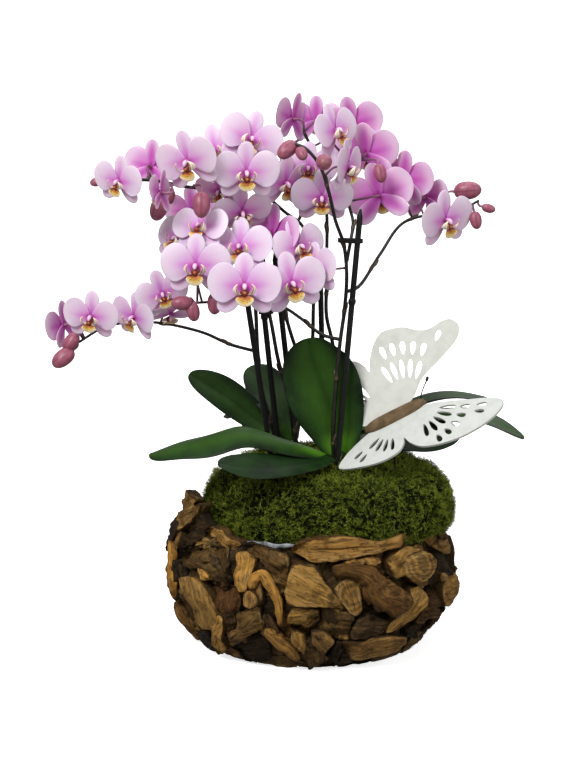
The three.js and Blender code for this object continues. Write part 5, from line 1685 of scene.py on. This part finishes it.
@dataclass
class FlowerSpikes:
    """Stems with their nodes, side branches, the stalks of the blooms, and the closed buds."""

    radius: float = 2.1
    branch: float = 1.7
    stalk: float = 1.1
    node_every: float = 62
    bloom_back: float = 1.0

    def stem(self, line: list, radius: float, seed: int) -> list[Surface]:
        """A stem that thins to its tip, swells at each node, and has a scale leaf there.

        Args:
            line: the points that it passes through.
            radius: at its foot.
            seed: for the places of the nodes.

        Returns:
            Its surfaces.
        """
        length = path_length(smooth_path(line, 60))
        count = max(16, int(length / 2.6))
        path = smooth_path(line, count)
        reach = np.linspace(0, length, count)
        rng = np.random.default_rng(seed)
        nodes = np.arange(self.node_every * 0.55, length - 12, self.node_every) + rng.uniform(-8, 8)
        near = np.exp(-((reach[:, None] - nodes[None]) / 2.0) ** 2).sum(1) if len(nodes) else np.zeros(count)
        thin = 1 - 0.3 * reach / length
        parts = [tube(path, radius * thin * (1 + 0.38 * near), 10, 0, node=np.clip(near, 0, 1), blush=0.0)]
        along, across, up = frames(path)
        for number, place in enumerate(nodes):
            at = int(np.argmin(np.abs(reach - place)))
            flip = 1 if number % 2 else -1
            out = across[at] * flip * 0.8 + up[at] * 0.6 * (1 if number % 3 else -1)
            foot = path[at] + out * radius * 0.5 * thin[at]
            tip = path[at] + along[at] * 8.5 + out * radius * 1.5 * thin[at]
            scale = np.linspace(foot, tip, 7)
            thick = 1.5 * np.sin(np.linspace(0.6, 3.0, 7)) + 0.15
            parts.append(tube(scale, thick, 7, 0, node=0.75, blush=0.0))
        return parts

    def bud(self, centre: Point, direction: Point, length: float) -> Surface:
        """A bud: an egg along its direction with three faint seams.

        Its radius is a third of its length times the square root of 1 - |2 t^0.9 - 1|^2.2, less a little
        at each seam.

        Args:
            centre: its middle.
            direction: the way its tip points.
            length: from foot to tip.

        Returns:
            The surface.
        """
        t = (1 - np.cos(np.linspace(0.12, np.pi - 0.12, 15))) / 2
        toward = unit(np.asarray(direction, float))
        path = np.asarray(centre) + toward * (t - 0.5)[:, None] * length
        _, across, up = frames(path)
        turn = full_turn(24)
        seam = np.abs(np.cos(1.5 * turn)) ** 8
        belly = np.sqrt(np.clip(1 - np.abs(2 * t ** 0.9 - 1) ** 2.2, 0, 1))
        radius = 0.335 * length * belly[:, None] * (1 - 0.05 * seam)[None]
        rings = path[:, None] + ring_of(turn, across, up) * radius[..., None]
        spot = np.stack(np.broadcast_arrays(t[:, None], seam[None], 0.0), -1)
        ends = (np.asarray(centre) - toward * length / 2, np.asarray(centre) + toward * length / 2)
        return skin(rings, *ends, 1, petal=spot)

    def stalk_to(self, lines: list[Array], tip: Array, away: Array, reach: float) -> Surface:
        """A stalk from the nearest stem to the back of a bloom or bud, leaving the tip along its axis.

        Args:
            lines: points on the flowering part of each stem.
            tip: where it ends.
            away: the way from the bloom back to its stalk.
            reach: how far it runs straight.

        Returns:
            The surface.
        """
        bend = tip + away * reach
        stems = np.concatenate(lines)
        root = stems[np.argmin(np.linalg.norm(stems - bend, axis=1))]
        path = smooth_path([tip, bend, root], 16)
        thick = self.stalk * (1 + 0.5 * np.exp(-((np.linspace(0, 1, 16)) / 0.12) ** 2))
        return tube(path, thick, 8, 0, node=0.0, blush=np.linspace(1, 0, 16) ** 0.7)

    def build(self) -> None:
        """Builds each spike as one piece."""
        finishes = [StemFinish().material(), BudFinish().material()]
        for number, lines in SPIKE_LINES.items():
            parts = []
            for i, line in enumerate(lines):
                parts += self.stem(line, self.radius if i == 0 else self.branch, 10 * number + i)
            flowering = [smooth_path(line, 120)[52:] for line in lines]
            for spike, centre, direction, length in BUD_ROWS:
                if spike == number:
                    away = -unit(np.asarray(direction, float))
                    foot = np.asarray(centre) + away * length * 0.42
                    parts += [self.bud(centre, direction, length),
                              self.stalk_to(flowering, foot, away, length * 0.28)]
            for row in BLOOM_ROWS:
                if row.spike == number:
                    away = -row.facing()
                    tip = np.asarray(row.centre) + away * (self.bloom_back * row.size - 0.6)
                    parts.append(self.stalk_to(flowering, tip, away, 10))
            Piece(parts).build(f"spike_{number}", finishes, "stem", f"flower_spike_{number}")


@dataclass
class Blooms:
    """The open blooms: three sepals, two broad petals before them, a lobed lip and the column."""

    sepal: tuple = ((0, -1.5), (3.4, 2), (5.8, 8), (7.9, 15), (8.3, 21), (5.9, 27), (0.4, 30.2), (-5.7, 27),
                    (-8.3, 21), (-7.9, 15), (-5.8, 8), (-3.4, 2))
    petal: tuple = ((0, 0), (3.4, -5), (9, -11), (16.5, -15.6), (24.5, -13.5), (30.6, -6), (32.8, 3.5),
                    (30, 12.5), (23, 18.6), (14.5, 18.2), (7, 12), (2.4, 4.8))
    mid_lobe: tuple = ((0, -1), (2.6, 1), (3.6, 4.5), (6.6, 7.2), (8.0, 10.4), (6.4, 13.4), (2.8, 15.0),
                       (0, 15.2),
                       (-2.8, 15.0), (-6.4, 13.4), (-8.0, 10.4), (-6.6, 7.2), (-3.6, 4.5), (-2.6, 1))
    sepal_bearings: tuple = (90, 222, 318)
    petal_reach: float = 33.0

    @staticmethod
    def both_sides(start: float, rings: int) -> tuple[Array, Array]:
        """Rings from a pole in front, out to the edge, and in to a pole behind.

        Args:
            start: how near to the pole the first ring is.
            rings: rings on each side, which share the one at the edge.

        Returns:
            Each ring's share of the outline, and 1 in front or -1 behind, as columns.
        """
        steps = np.sin(np.linspace(start, 1, rings) * 0.5 * np.pi)
        shrink = np.concatenate([steps, steps[-2::-1]])
        front = np.concatenate([np.ones(rings), -np.ones(rings - 1)])
        return shrink[:, None], front[:, None]

    def blade(self, outline: tuple, bearing: float, lift: tuple[float, float, float], cup: float,
              ripple: float, seed: int, rings: int = 7, around: int = 32) -> Surface:
        """A sepal or petal: rings of its outline drawn in to a pole on the front and on the back.

        The outline's points are in millimetres across and along. A point at share r of the way from the
        base, and b across, stands lift0 + lift1 r + lift2 r^2 + cup b^2 forward, and the margin waves.

        Args:
            outline: points across and along.
            bearing: where it points, in degrees from the right.
            lift: the three terms of its curve along.
            cup: how far its sides stand forward.
            ripple: how far its margin waves.
            seed: for the waves.
            rings: rings on each side.
            around: points in a ring.

        Returns:
            The surface.
        """
        given = np.asarray(outline, float)
        is_sepal = bearing in self.sepal_bearings
        reach, wide = given[:, 1].max() if is_sepal else self.petal_reach, np.abs(given[:, 0]).max()
        edge = smooth_path(given, around, closed=True)
        middle = edge.mean(0) * 0.82
        shrink, front = self.both_sides(0.12, rings)
        flat = middle + (edge - middle)[None] * shrink[..., None]
        across, along = flat[..., 0], flat[..., 1]
        share, aside = np.clip(along / reach, 0, 1.1), across / wide
        rng = np.random.default_rng(seed)
        waves = sum(np.sin(np.arctan2(across, along + 4) * k + rng.uniform(0, 6.3)) for k in (3, 5, 7)) / 3
        thick = 0.55 * np.sqrt(np.clip(1 - shrink ** 4, 0, 1)) * front
        height = (lift[0] + lift[1] * share + lift[2] * share ** 2 + cup * aside ** 2
                  + ripple * waves * shrink ** 5 + thick)
        turn = math.radians(bearing)
        points = np.stack([along * math.cos(turn) + across * math.sin(turn),
                           along * math.sin(turn) - across * math.cos(turn), height], -1)
        spot = np.stack([share, aside, np.broadcast_to(front < 0, share.shape)], -1)
        surface = skin(points[:, ::-1], points[0].mean(0), points[-1].mean(0), 0, petal=spot[:, ::-1])
        return surface.carrying(sepal=float(is_sepal))

    def petal_blade(self, side: int, seed: int, lift: tuple, cup: float) -> Surface:
        """A broad petal.

        Args:
            side: 1 on the right, -1 on the left.
            seed: for its waves.
            lift: the three terms of its curve along.
            cup: how far its sides stand forward.

        Returns:
            The surface.
        """
        outline = tuple((-side * y, x) for x, y in self.petal)
        outline = outline if side > 0 else outline[::-1]
        return self.blade(outline, 8 if side > 0 else 172, lift, cup, 1.3, seed, 9, 40)

    def side_lobe(self, side: int) -> Surface:
        """A lobe beside the column: a curved band that stands up like a bracket, hollow side inwards.

        Args:
            side: 1 on the right, -1 on the left.

        Returns:
            The surface.
        """
        spine = [(1.6, -4.5, 4), (5.6, -6.2, 7.5), (8.6, -3.2, 10.2), (8.4, 1.0, 11.6), (6.2, 3.2, 12)]
        path = smooth_path(spine, 15)
        share = np.linspace(0, 1, 15)
        wide = 0.6 + 3.0 * np.sin(np.pi * share ** 0.8) ** 0.8
        toward = unit(np.array([0.45, 0.15, -0.88]) + np.array([0.3, -0.3, 0]) * share[:, None])
        normal = unit(np.cross(unit(np.gradient(path, axis=0)), toward))
        turn = full_turn(14)
        rings = (path[:, None] + toward[:, None] * (np.cos(turn)[None] * wide[:, None])[..., None]
                 + normal[:, None] * (np.sin(turn) * 0.42 + 0.5 * np.cos(turn) ** 2)[None, :, None])
        rings = rings[:, ::-1]
        rings[..., 0] *= side
        if side < 0:
            rings = rings[:, ::-1]
        out = 0.8 + 0.25 * share[:, None]
        spot = np.stack(np.broadcast_arrays(out, np.cos(turn)[None, ::-side], 1.0), -1)
        return skin(rings, rings[0].mean(0), rings[-1].mean(0), 1, petal=spot)

    def middle_lobe(self) -> Surface:
        """The lip's middle lobe: an arrowhead that runs forward and down from under the column.

        Returns:
            The surface.
        """
        edge = smooth_path(np.asarray(self.mid_lobe, float), 30, closed=True)
        middle = np.array([0, 6.5])
        shrink, front = self.both_sides(0.15, 5)
        flat = middle + (edge - middle)[None] * shrink[..., None]
        across, along = flat[..., 0], flat[..., 1]
        thick = 0.8 * np.sqrt(np.clip(1 - shrink ** 4, 0, 1)) * front
        height = 0.055 * across ** 2 - 0.02 * along ** 2 + thick
        tilt = math.radians(-52)
        points = np.stack([across, -4 - along * math.cos(tilt) * 1.1 + height * 0.5,
                           5.5 + along * 0.32 + height * 0.8], -1)
        spot = np.stack([along / 17 + 0.25 * (across / 8) ** 2, across / 8, 0 * along], -1)
        return skin(points, points[0].mean(0), points[-1].mean(0), 1, petal=spot)

    def column(self) -> Surface:
        """The column: a short bar that bends down over the throat and thickens to a rounded cap.

        Returns:
            The surface.
        """
        path = smooth_path([(0, 1.0, 1.2), (0, 1.8, 4.5), (0, 1.0, 8.2), (0, -1.6, 10.6)], 12)
        share = np.linspace(0, 1, 12)
        radius = 1.5 + 0.6 * np.sin(np.pi * share ** 1.5)
        shape = tube(path, radius * np.sqrt(np.clip(1.02 - share ** 8, 0.1, 1)), 14, 2)
        along = (shape.points[:, 2] - 0.5) / 11
        return shape.carrying(petal=np.stack([along, 0 * along, 0 * along], -1))

    def throat(self) -> list[Surface]:
        """The red-brown floor of the throat between the side lobes, and the small crest on it.

        Returns:
            Both surfaces.
        """
        deep = 4.1 * np.sin(np.linspace(0.3, np.pi - 0.3, 10))
        floor = tube(np.linspace([0, -0.6, 4.4], [0, -8.4, 7.0], 10), deep, 16, 1)
        narrow = 1.5 * np.sin(np.linspace(0.35, np.pi - 0.3, 8))
        crest = tube(np.linspace([0, -3.4, 7.6], [0, -5.4, 10.4], 8), narrow, 10, 1)
        return [floor.carrying(petal=np.tile([0.05, 0.0, 0.0], (len(floor.points), 1))),
                crest.carrying(petal=np.tile([0.45, 0.0, 0.0], (len(crest.points), 1)))]

    def bloom(self, row: BloomRow, seed: int) -> list[Surface]:
        """One bloom in its place, each a little unlike the next.

        Args:
            row: the bloom.
            seed: for its own small differences.

        Returns:
            Its surfaces.
        """
        rng = np.random.default_rng(seed)
        open_back = rng.normal(0, 0.8)
        parts = [
            *(self.blade(self.sepal, bearing, (0.1, -0.9, -1.8 + open_back), -0.5, 0.5, seed + i, 6, 26)
              for i, bearing in enumerate(self.sepal_bearings)),
            self.petal_blade(1, seed + 3, (1.6, 3.6, -2.6 + open_back), -0.8),
            self.petal_blade(-1, seed + 4, (1.6, 3.6, -2.6 + open_back), -0.8),
            self.side_lobe(1), self.side_lobe(-1), self.middle_lobe(), self.column(), *self.throat(),
        ]
        tone = float(np.clip(row.tone + rng.normal(0, 0.05), 0, 1))
        return [part.carrying(tone=tone).moved(row.matrix()) for part in parts]

    def build(self) -> None:
        """Builds each bloom, or each group of blooms that touch, as one piece."""
        finishes = [PetalFinish().material(), LipFinish().material(), ColumnFinish().material()]
        grouped = {name for group in BLOOM_GROUPS for name in group}
        singles = [[row.name] for row in BLOOM_ROWS if row.name not in grouped]
        for names in singles + BLOOM_GROUPS:
            parts = []
            for number, row in enumerate(BLOOM_ROWS):
                if row.name in names:
                    parts += self.bloom(row, 50 + 10 * number)
            label = ("blooms_" if len(names) > 1 else "bloom_") + "_".join(names)
            Piece(parts).build(f"open_{label}", finishes, "petal", label)


@dataclass
class Stakes:
    """Five black stakes, each with a rounded top, and small clips on them."""

    radius: float = 2.7
    clips: tuple = ((2, 0.68), (5, 0.72), (1, 0.8), (3, 0.86))

    def build(self) -> None:
        """Builds the stakes and their clips."""
        black = STAKE_FINISH.material()
        for number, (foot, tip) in STAKE_LINES.items():
            line = np.linspace(foot, tip, 40)
            reach = np.linspace(0, path_length(line), 40)
            round_top = np.sqrt(np.clip(1 - (np.maximum(0, reach - reach[-1] + 3) / 3.2) ** 2, 0.1, 1))
            parts = [tube(line, self.radius * round_top, 14)]
            for stake, share in self.clips:
                if stake == number:
                    at = np.asarray(foot) + (np.asarray(tip) - np.asarray(foot)) * share
                    way = unit(np.asarray(tip, float) - foot)
                    ring = at + way * np.linspace(-2.6, 2.6, 7)[:, None]
                    parts.append(tube(ring, self.radius + 0.9 * np.sin(np.linspace(0.4, np.pi - 0.4, 7)), 14))
            Piece(parts).build(f"support_stake_{number}", [black], "stake", f"stake_{number}")
        for number in (1, 2, 3):
            dress(f"tie_band_{number}", black)


# Butterfly

@dataclass
class Butterfly:
    """A wooden butterfly on a wire pick: a plain body, white wings with cut-outs, and beaded feelers."""

    centre: Point = (96, -36, 231)
    azimuth: float = -7
    rise: float = 28.5
    near_lift: float = -33
    far_lift: float = 85
    thickness: float = 2.4
    body_rows: tuple = ((-52, 4.4), (-42, 7.0), (-18, 7.4), (0, 6.7), (9, 4.3))
    near_outline: tuple = (
        (-42, 3), (-63, 10), (-81, 21), (-87, 29), (-64, 42), (-44, 47), (-28, 45), (-21, 37), (-20, 31),
        (-15, 42), (-6, 53), (15, 62), (38, 65), (62, 61), (76, 52), (77, 45), (66, 35), (49, 25),
        (28, 13), (8, 4))
    far_outline: tuple = (
        (-2, 7), (17, 21), (42, 30), (65, 41), (70, 50), (66, 58), (57, 60), (44, 59), (34, 63),
        (24, 71), (13, 75),
        (2, 76), (-11, 67), (-20, 55), (-24, 48), (-26, 56), (-32, 64), (-42, 65), (-57, 57), (-72, 42),
        (-76, 30), (-62, 12), (-42, 3))
    near_fans: tuple = ((2, 6, 30, 90, 5, 21, 39, 5.2), (2, 6, 31, 79, 5, 43, 54, 5.8),
                        (2, 6, 30, 37, 2, 60, 71, 5.0), (-26, 8, 103, 150, 4, 18, 33, 4.8),
                        (-26, 8, 146, 156, 2, 38, 49, 4.4))
    far_fans: tuple = ((-6, 4, 47, 97, 5, 26, 44, 5.4), (-6, 4, 48, 88, 5, 48, 61, 6.0),
                       (-6, 4, 40, 40, 1, 66, 77, 5.4), (-28, 6, 108, 145, 4, 21, 39, 4.8),
                       (-28, 6, 111, 140, 3, 43, 54, 5.4))

    def axes(self) -> tuple[Array, Array, Array]:
        """The directions along the body, to its near side, and up from it.

        Returns:
            Three unit vectors.
        """
        turn, lift = math.radians(self.azimuth), math.radians(self.rise)
        along = np.array([math.cos(lift) * math.cos(turn), math.cos(lift) * math.sin(turn), math.sin(lift)])
        side = unit(np.cross(along, [0.0, 0.0, 1.0]))
        return along, side, np.cross(side, along)

    def on_body(self, distance: float) -> Array:
        """A point on the body's axis."""
        return np.asarray(self.centre) + self.axes()[0] * distance

    def fan(self, a: float, n: float, first: float, last: float, count: int, inner: float, outer: float,
            width: float) -> list[Array]:
        """A fan of drop-shaped cut-outs round a point of the wing.

        Each is y = w sin(t) (1 + 0.25 cos(t)) against x = l cos(t), turned to its bearing.

        Args:
            a: the point's place along the body.
            n: how far out it is.
            first: the first cut-out's bearing, in degrees.
            last: the last one's.
            count: how many.
            inner: where they start, from the point.
            outer: where they end.
            width: how wide they are.

        Returns:
            Their outlines.
        """
        t = full_turn(28)
        x = (inner + outer) / 2 + 0.5 * (outer - inner) * np.cos(t)
        y = 0.48 * width * np.sin(t) * (1 + 0.25 * np.cos(t))
        return [np.stack([a + x * math.cos(turn) - y * math.sin(turn),
                          n + x * math.sin(turn) + y * math.cos(turn)], -1)
                for turn in np.radians(np.linspace(first, last, count))]

    def wing(self, name: str, outline: tuple, fans: tuple, lift: float, flip: int,
             paint_finish: SpeckledFinish, node: str) -> None:
        """A wing cut from a thin board.

        Args:
            name: the piece's name.
            outline: along the body and out from it.
            fans: its fans of cut-outs.
            lift: the wing's angle from level, in degrees.
            flip: 1 for the near side, -1 for the far side.
            paint_finish: the finish of its faces.
            node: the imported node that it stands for.
        """
        curve = bpy.data.curves.new(name, "CURVE")
        curve.dimensions = "2D"
        curve.fill_mode = "BOTH"
        curve.extrude = (self.thickness / 2 - 0.25) * MM
        curve.bevel_depth = 0.25 * MM
        curve.bevel_resolution = 1
        loops = [smooth_path(np.asarray(outline, float), 180, closed=True)]
        loops += [drop for row in fans for drop in self.fan(*row)]
        for loop in loops:
            spline = curve.splines.new("POLY")
            spline.points.add(len(loop) - 1)
            flat = np.zeros((len(loop), 4))
            flat[:, :2], flat[:, 3] = loop * MM, 1
            spline.points.foreach_set("co", flat.ravel())
            spline.use_cyclic_u = True
        holder = bpy.data.objects.new(name + "_outline", curve)
        bpy.context.scene.collection.objects.link(holder)
        mesh = bpy.data.meshes.new_from_object(holder.evaluated_get(bpy.context.evaluated_depsgraph_get()))
        bpy.data.objects.remove(holder)
        mesh.name = name
        work = bmesh.new()
        work.from_mesh(mesh)
        bmesh.ops.remove_doubles(work, verts=work.verts, dist=0.02 * MM)
        bmesh.ops.triangulate(work, faces=work.faces)
        along, side, up = self.axes()
        angle = math.radians(lift)
        out = side * (flip * math.cos(angle)) + up * math.sin(angle)
        across = np.cross(along, out)
        matrix = np.eye(4)
        matrix[:3, 0], matrix[:3, 1], matrix[:3, 2] = along, out, across
        matrix[:3, 3] = np.asarray(self.centre) * MM
        work.normal_update()
        rims = [abs(face.normal.z) < 0.75 for face in work.faces]
        work.transform(Matrix(matrix.tolist()))
        bmesh.ops.recalc_face_normals(work, faces=work.faces)
        for face, rim in zip(work.faces, rims):
            face.material_index = int(rim)
            face.smooth = False
        work.to_mesh(mesh)
        work.free()
        mesh.materials.clear()
        for finish in (paint_finish, BURNT_FINISH):
            mesh.materials.append(bpy.data.materials.get(finish.name) or finish.material())
        settle(bpy.data.objects.new(name, mesh), "painted_wood", node)

    def build(self) -> None:
        """Builds the body, the wings, the feelers and the pick."""
        rows = smooth_path(self.body_rows, 24)
        path = np.stack([self.on_body(float(distance)) for distance in rows[:, 0]])
        body = tube(path, rows[:, 1], 20)
        Piece([body]).build("carved_body", [CARVED_FINISH.material()], "plain_wood", "butterfly_body")
        self.wing("near_wing", self.near_outline, self.near_fans, self.near_lift, 1, NEAR_WING_LIT_WHITE,
                  "butterfly_wing_near")
        self.wing("far_wing", self.far_outline, self.far_fans, self.far_lift, -1, FAR_WING_SHADED_WHITE,
                  "butterfly_wing_far")
        along, side, up = self.axes()
        base = self.on_body(6) + up
        feelers = []
        for across in (-5, 5):
            tip = base + side * across + np.array([0, 0, 20]) + along * 6
            line = smooth_path([tip, base + np.array([0, 0, 8]), base + np.array([0, 0, 1.0])], 16)
            feelers.append(tube(line, 0.55, 8))
            bead = tip + np.linspace(-1.5, 1.5, 8)[:, None] * np.array([0, 0, 1.0])
            feelers.append(tube(bead, 1.6 * np.sin(np.linspace(0.3, np.pi - 0.3, 8)), 10))
        wire = WIRE_FINISH.material()
        Piece(feelers).build("beaded_feelers", [wire], "wire", "butterfly_antennae")
        top = self.on_body(-22)
        pick = np.linspace([top[0], top[1], 128], top, 12)
        Piece([tube(pick, 1.15, 10)]).build("wire_pick", [wire], "wire", "butterfly_pick")


# Studio

@dataclass(frozen=True)
class FloorFinish:
    """A matt white floor that glows softly, and brightly far behind, so that it stays white there."""

    white: Colour = paint(246, 246, 246)
    near: float = 0.75
    far: float = 1.0

    def material(self) -> bpy.types.Material:
        """The floor's material.

        Returns:
            The material.
        """
        shader = Shader("floor")
        depth = shader.component(shader.place(), 1)
        light = depth.between(0.25, 1.3, self.near, self.far)
        glow = shader.mix(light, (0.0, 0.0, 0.0), (1.0, 1.0, 1.0))
        surface = shader.node("ShaderNodeBsdfPrincipled", None, {
            "Base Color": self.white, "Roughness": 0.8, "Emission Color": glow, "Emission Strength": 1.0})
        shader.node("ShaderNodeOutputMaterial", None, {"Surface": surface})
        return shader.material


@dataclass
class Studio:
    """A pale floor that sweeps up behind, soft lights, and the camera at the photograph's angle."""

    camera: Point = (-0.026, -1.6742, 0.5452)
    tilt: float = 80.0
    lens: float = 84.77
    level: float = 2.6
    bend: float = 1.4
    height: float = 5.0
    sides: int = 96

    def build(self) -> None:
        """Builds the floor, the lights and the camera."""
        self.floor()
        self.light("key", (-1.1, -1.6, 2.1), 1.0, 60)
        self.light("fill", (1.7, -1.5, 1.2), 1.8, 17)
        self.light("top", (0.1, 0.3, 2.6), 1.8, 25)
        self.light("back", (0.8, 2.1, 1.9), 1.6, 13)
        world = bpy.data.worlds.new("studio")
        world.use_nodes = True
        world.node_tree.nodes["Background"].inputs["Color"].default_value = (1, 1, 1, 1)
        world.node_tree.nodes["Background"].inputs["Strength"].default_value = 0.38
        bpy.context.scene.world = world
        bpy.context.scene.view_settings.view_transform = "Standard"
        lens = bpy.data.cameras.new("camera")
        lens.lens = self.lens
        lens.sensor_width = 36.0
        lens.clip_end = 50
        camera = bpy.data.objects.new("camera", lens)
        camera.location = self.camera
        camera.rotation_euler = (math.radians(self.tilt), 0, 0)
        bpy.context.scene.collection.objects.link(camera)
        bpy.context.scene.camera = camera

    def floor(self) -> None:
        """The floor: a sheet that bends up in a quarter circle far behind, on every side but the front."""
        sides = self.sides
        curve = [(self.level + self.bend * math.sin(t), self.bend - self.bend * math.cos(t))
                 for t in np.linspace(0.1, math.pi / 2, 12)]
        rows = np.array([(self.level, 0), *curve, (self.level + self.bend, self.height)])
        turn = full_turn(sides)
        rings = np.stack([rows[:, :1] * np.cos(turn), rows[:, :1] * np.sin(turn),
                          np.broadcast_to(rows[:, 1:], (len(rows), sides))], -1)
        points = np.concatenate([[[0, 0, 0]], rings.reshape(-1, 3)])
        faces = [[0, 1 + i, 1 + (i + 1) % sides] for i in range(sides)]
        for row in range(len(rows) - 1):
            start = 1 + row * sides
            faces += [[start + i, start + sides + i, start + sides + (i + 1) % sides, start + (i + 1) % sides]
                      for i in range(sides)]
        mesh = bpy.data.meshes.new("floor")
        mesh.from_pydata(points.tolist(), [], faces)
        mesh.polygons.foreach_set("use_smooth", np.ones(len(faces), bool))
        mesh.materials.append(FloorFinish().material())
        floor = bpy.data.objects.new("floor", mesh)
        floor.visible_diffuse = floor.visible_glossy = floor.visible_shadow = False
        bpy.context.scene.collection.objects.link(floor)

    def light(self, name: str, place: Point, size: float, power: float) -> None:
        """A square soft light that looks at the arrangement.

        Args:
            name: its name.
            place: where it stands, in metres.
            size: its side.
            power: in watts.
        """
        lamp = bpy.data.lights.new(name, "AREA")
        lamp.size = size
        lamp.energy = power
        obj = bpy.data.objects.new(name, lamp)
        obj.location = place
        toward = unit(np.array([-0.02, 0.0, 0.25]) - np.asarray(place))
        yaw = math.atan2(toward[0], -toward[1])
        obj.rotation_euler = (math.acos(-toward[2]), 0, yaw + math.pi)
        bpy.context.scene.collection.objects.link(obj)


def main() -> None:
    """Builds the whole arrangement and its studio."""
    logging.basicConfig(level=logging.INFO, format="%(message)s")
    for assembly in (DriftwoodBasket(), Planting(), MossBed(), Plants(), FlowerSpikes(), Blooms(), Stakes(),
                     Butterfly(), Studio()):
        LOG.info("building %s", type(assembly).__name__)
        assembly.build()


if __name__ == "__main__":
    main()
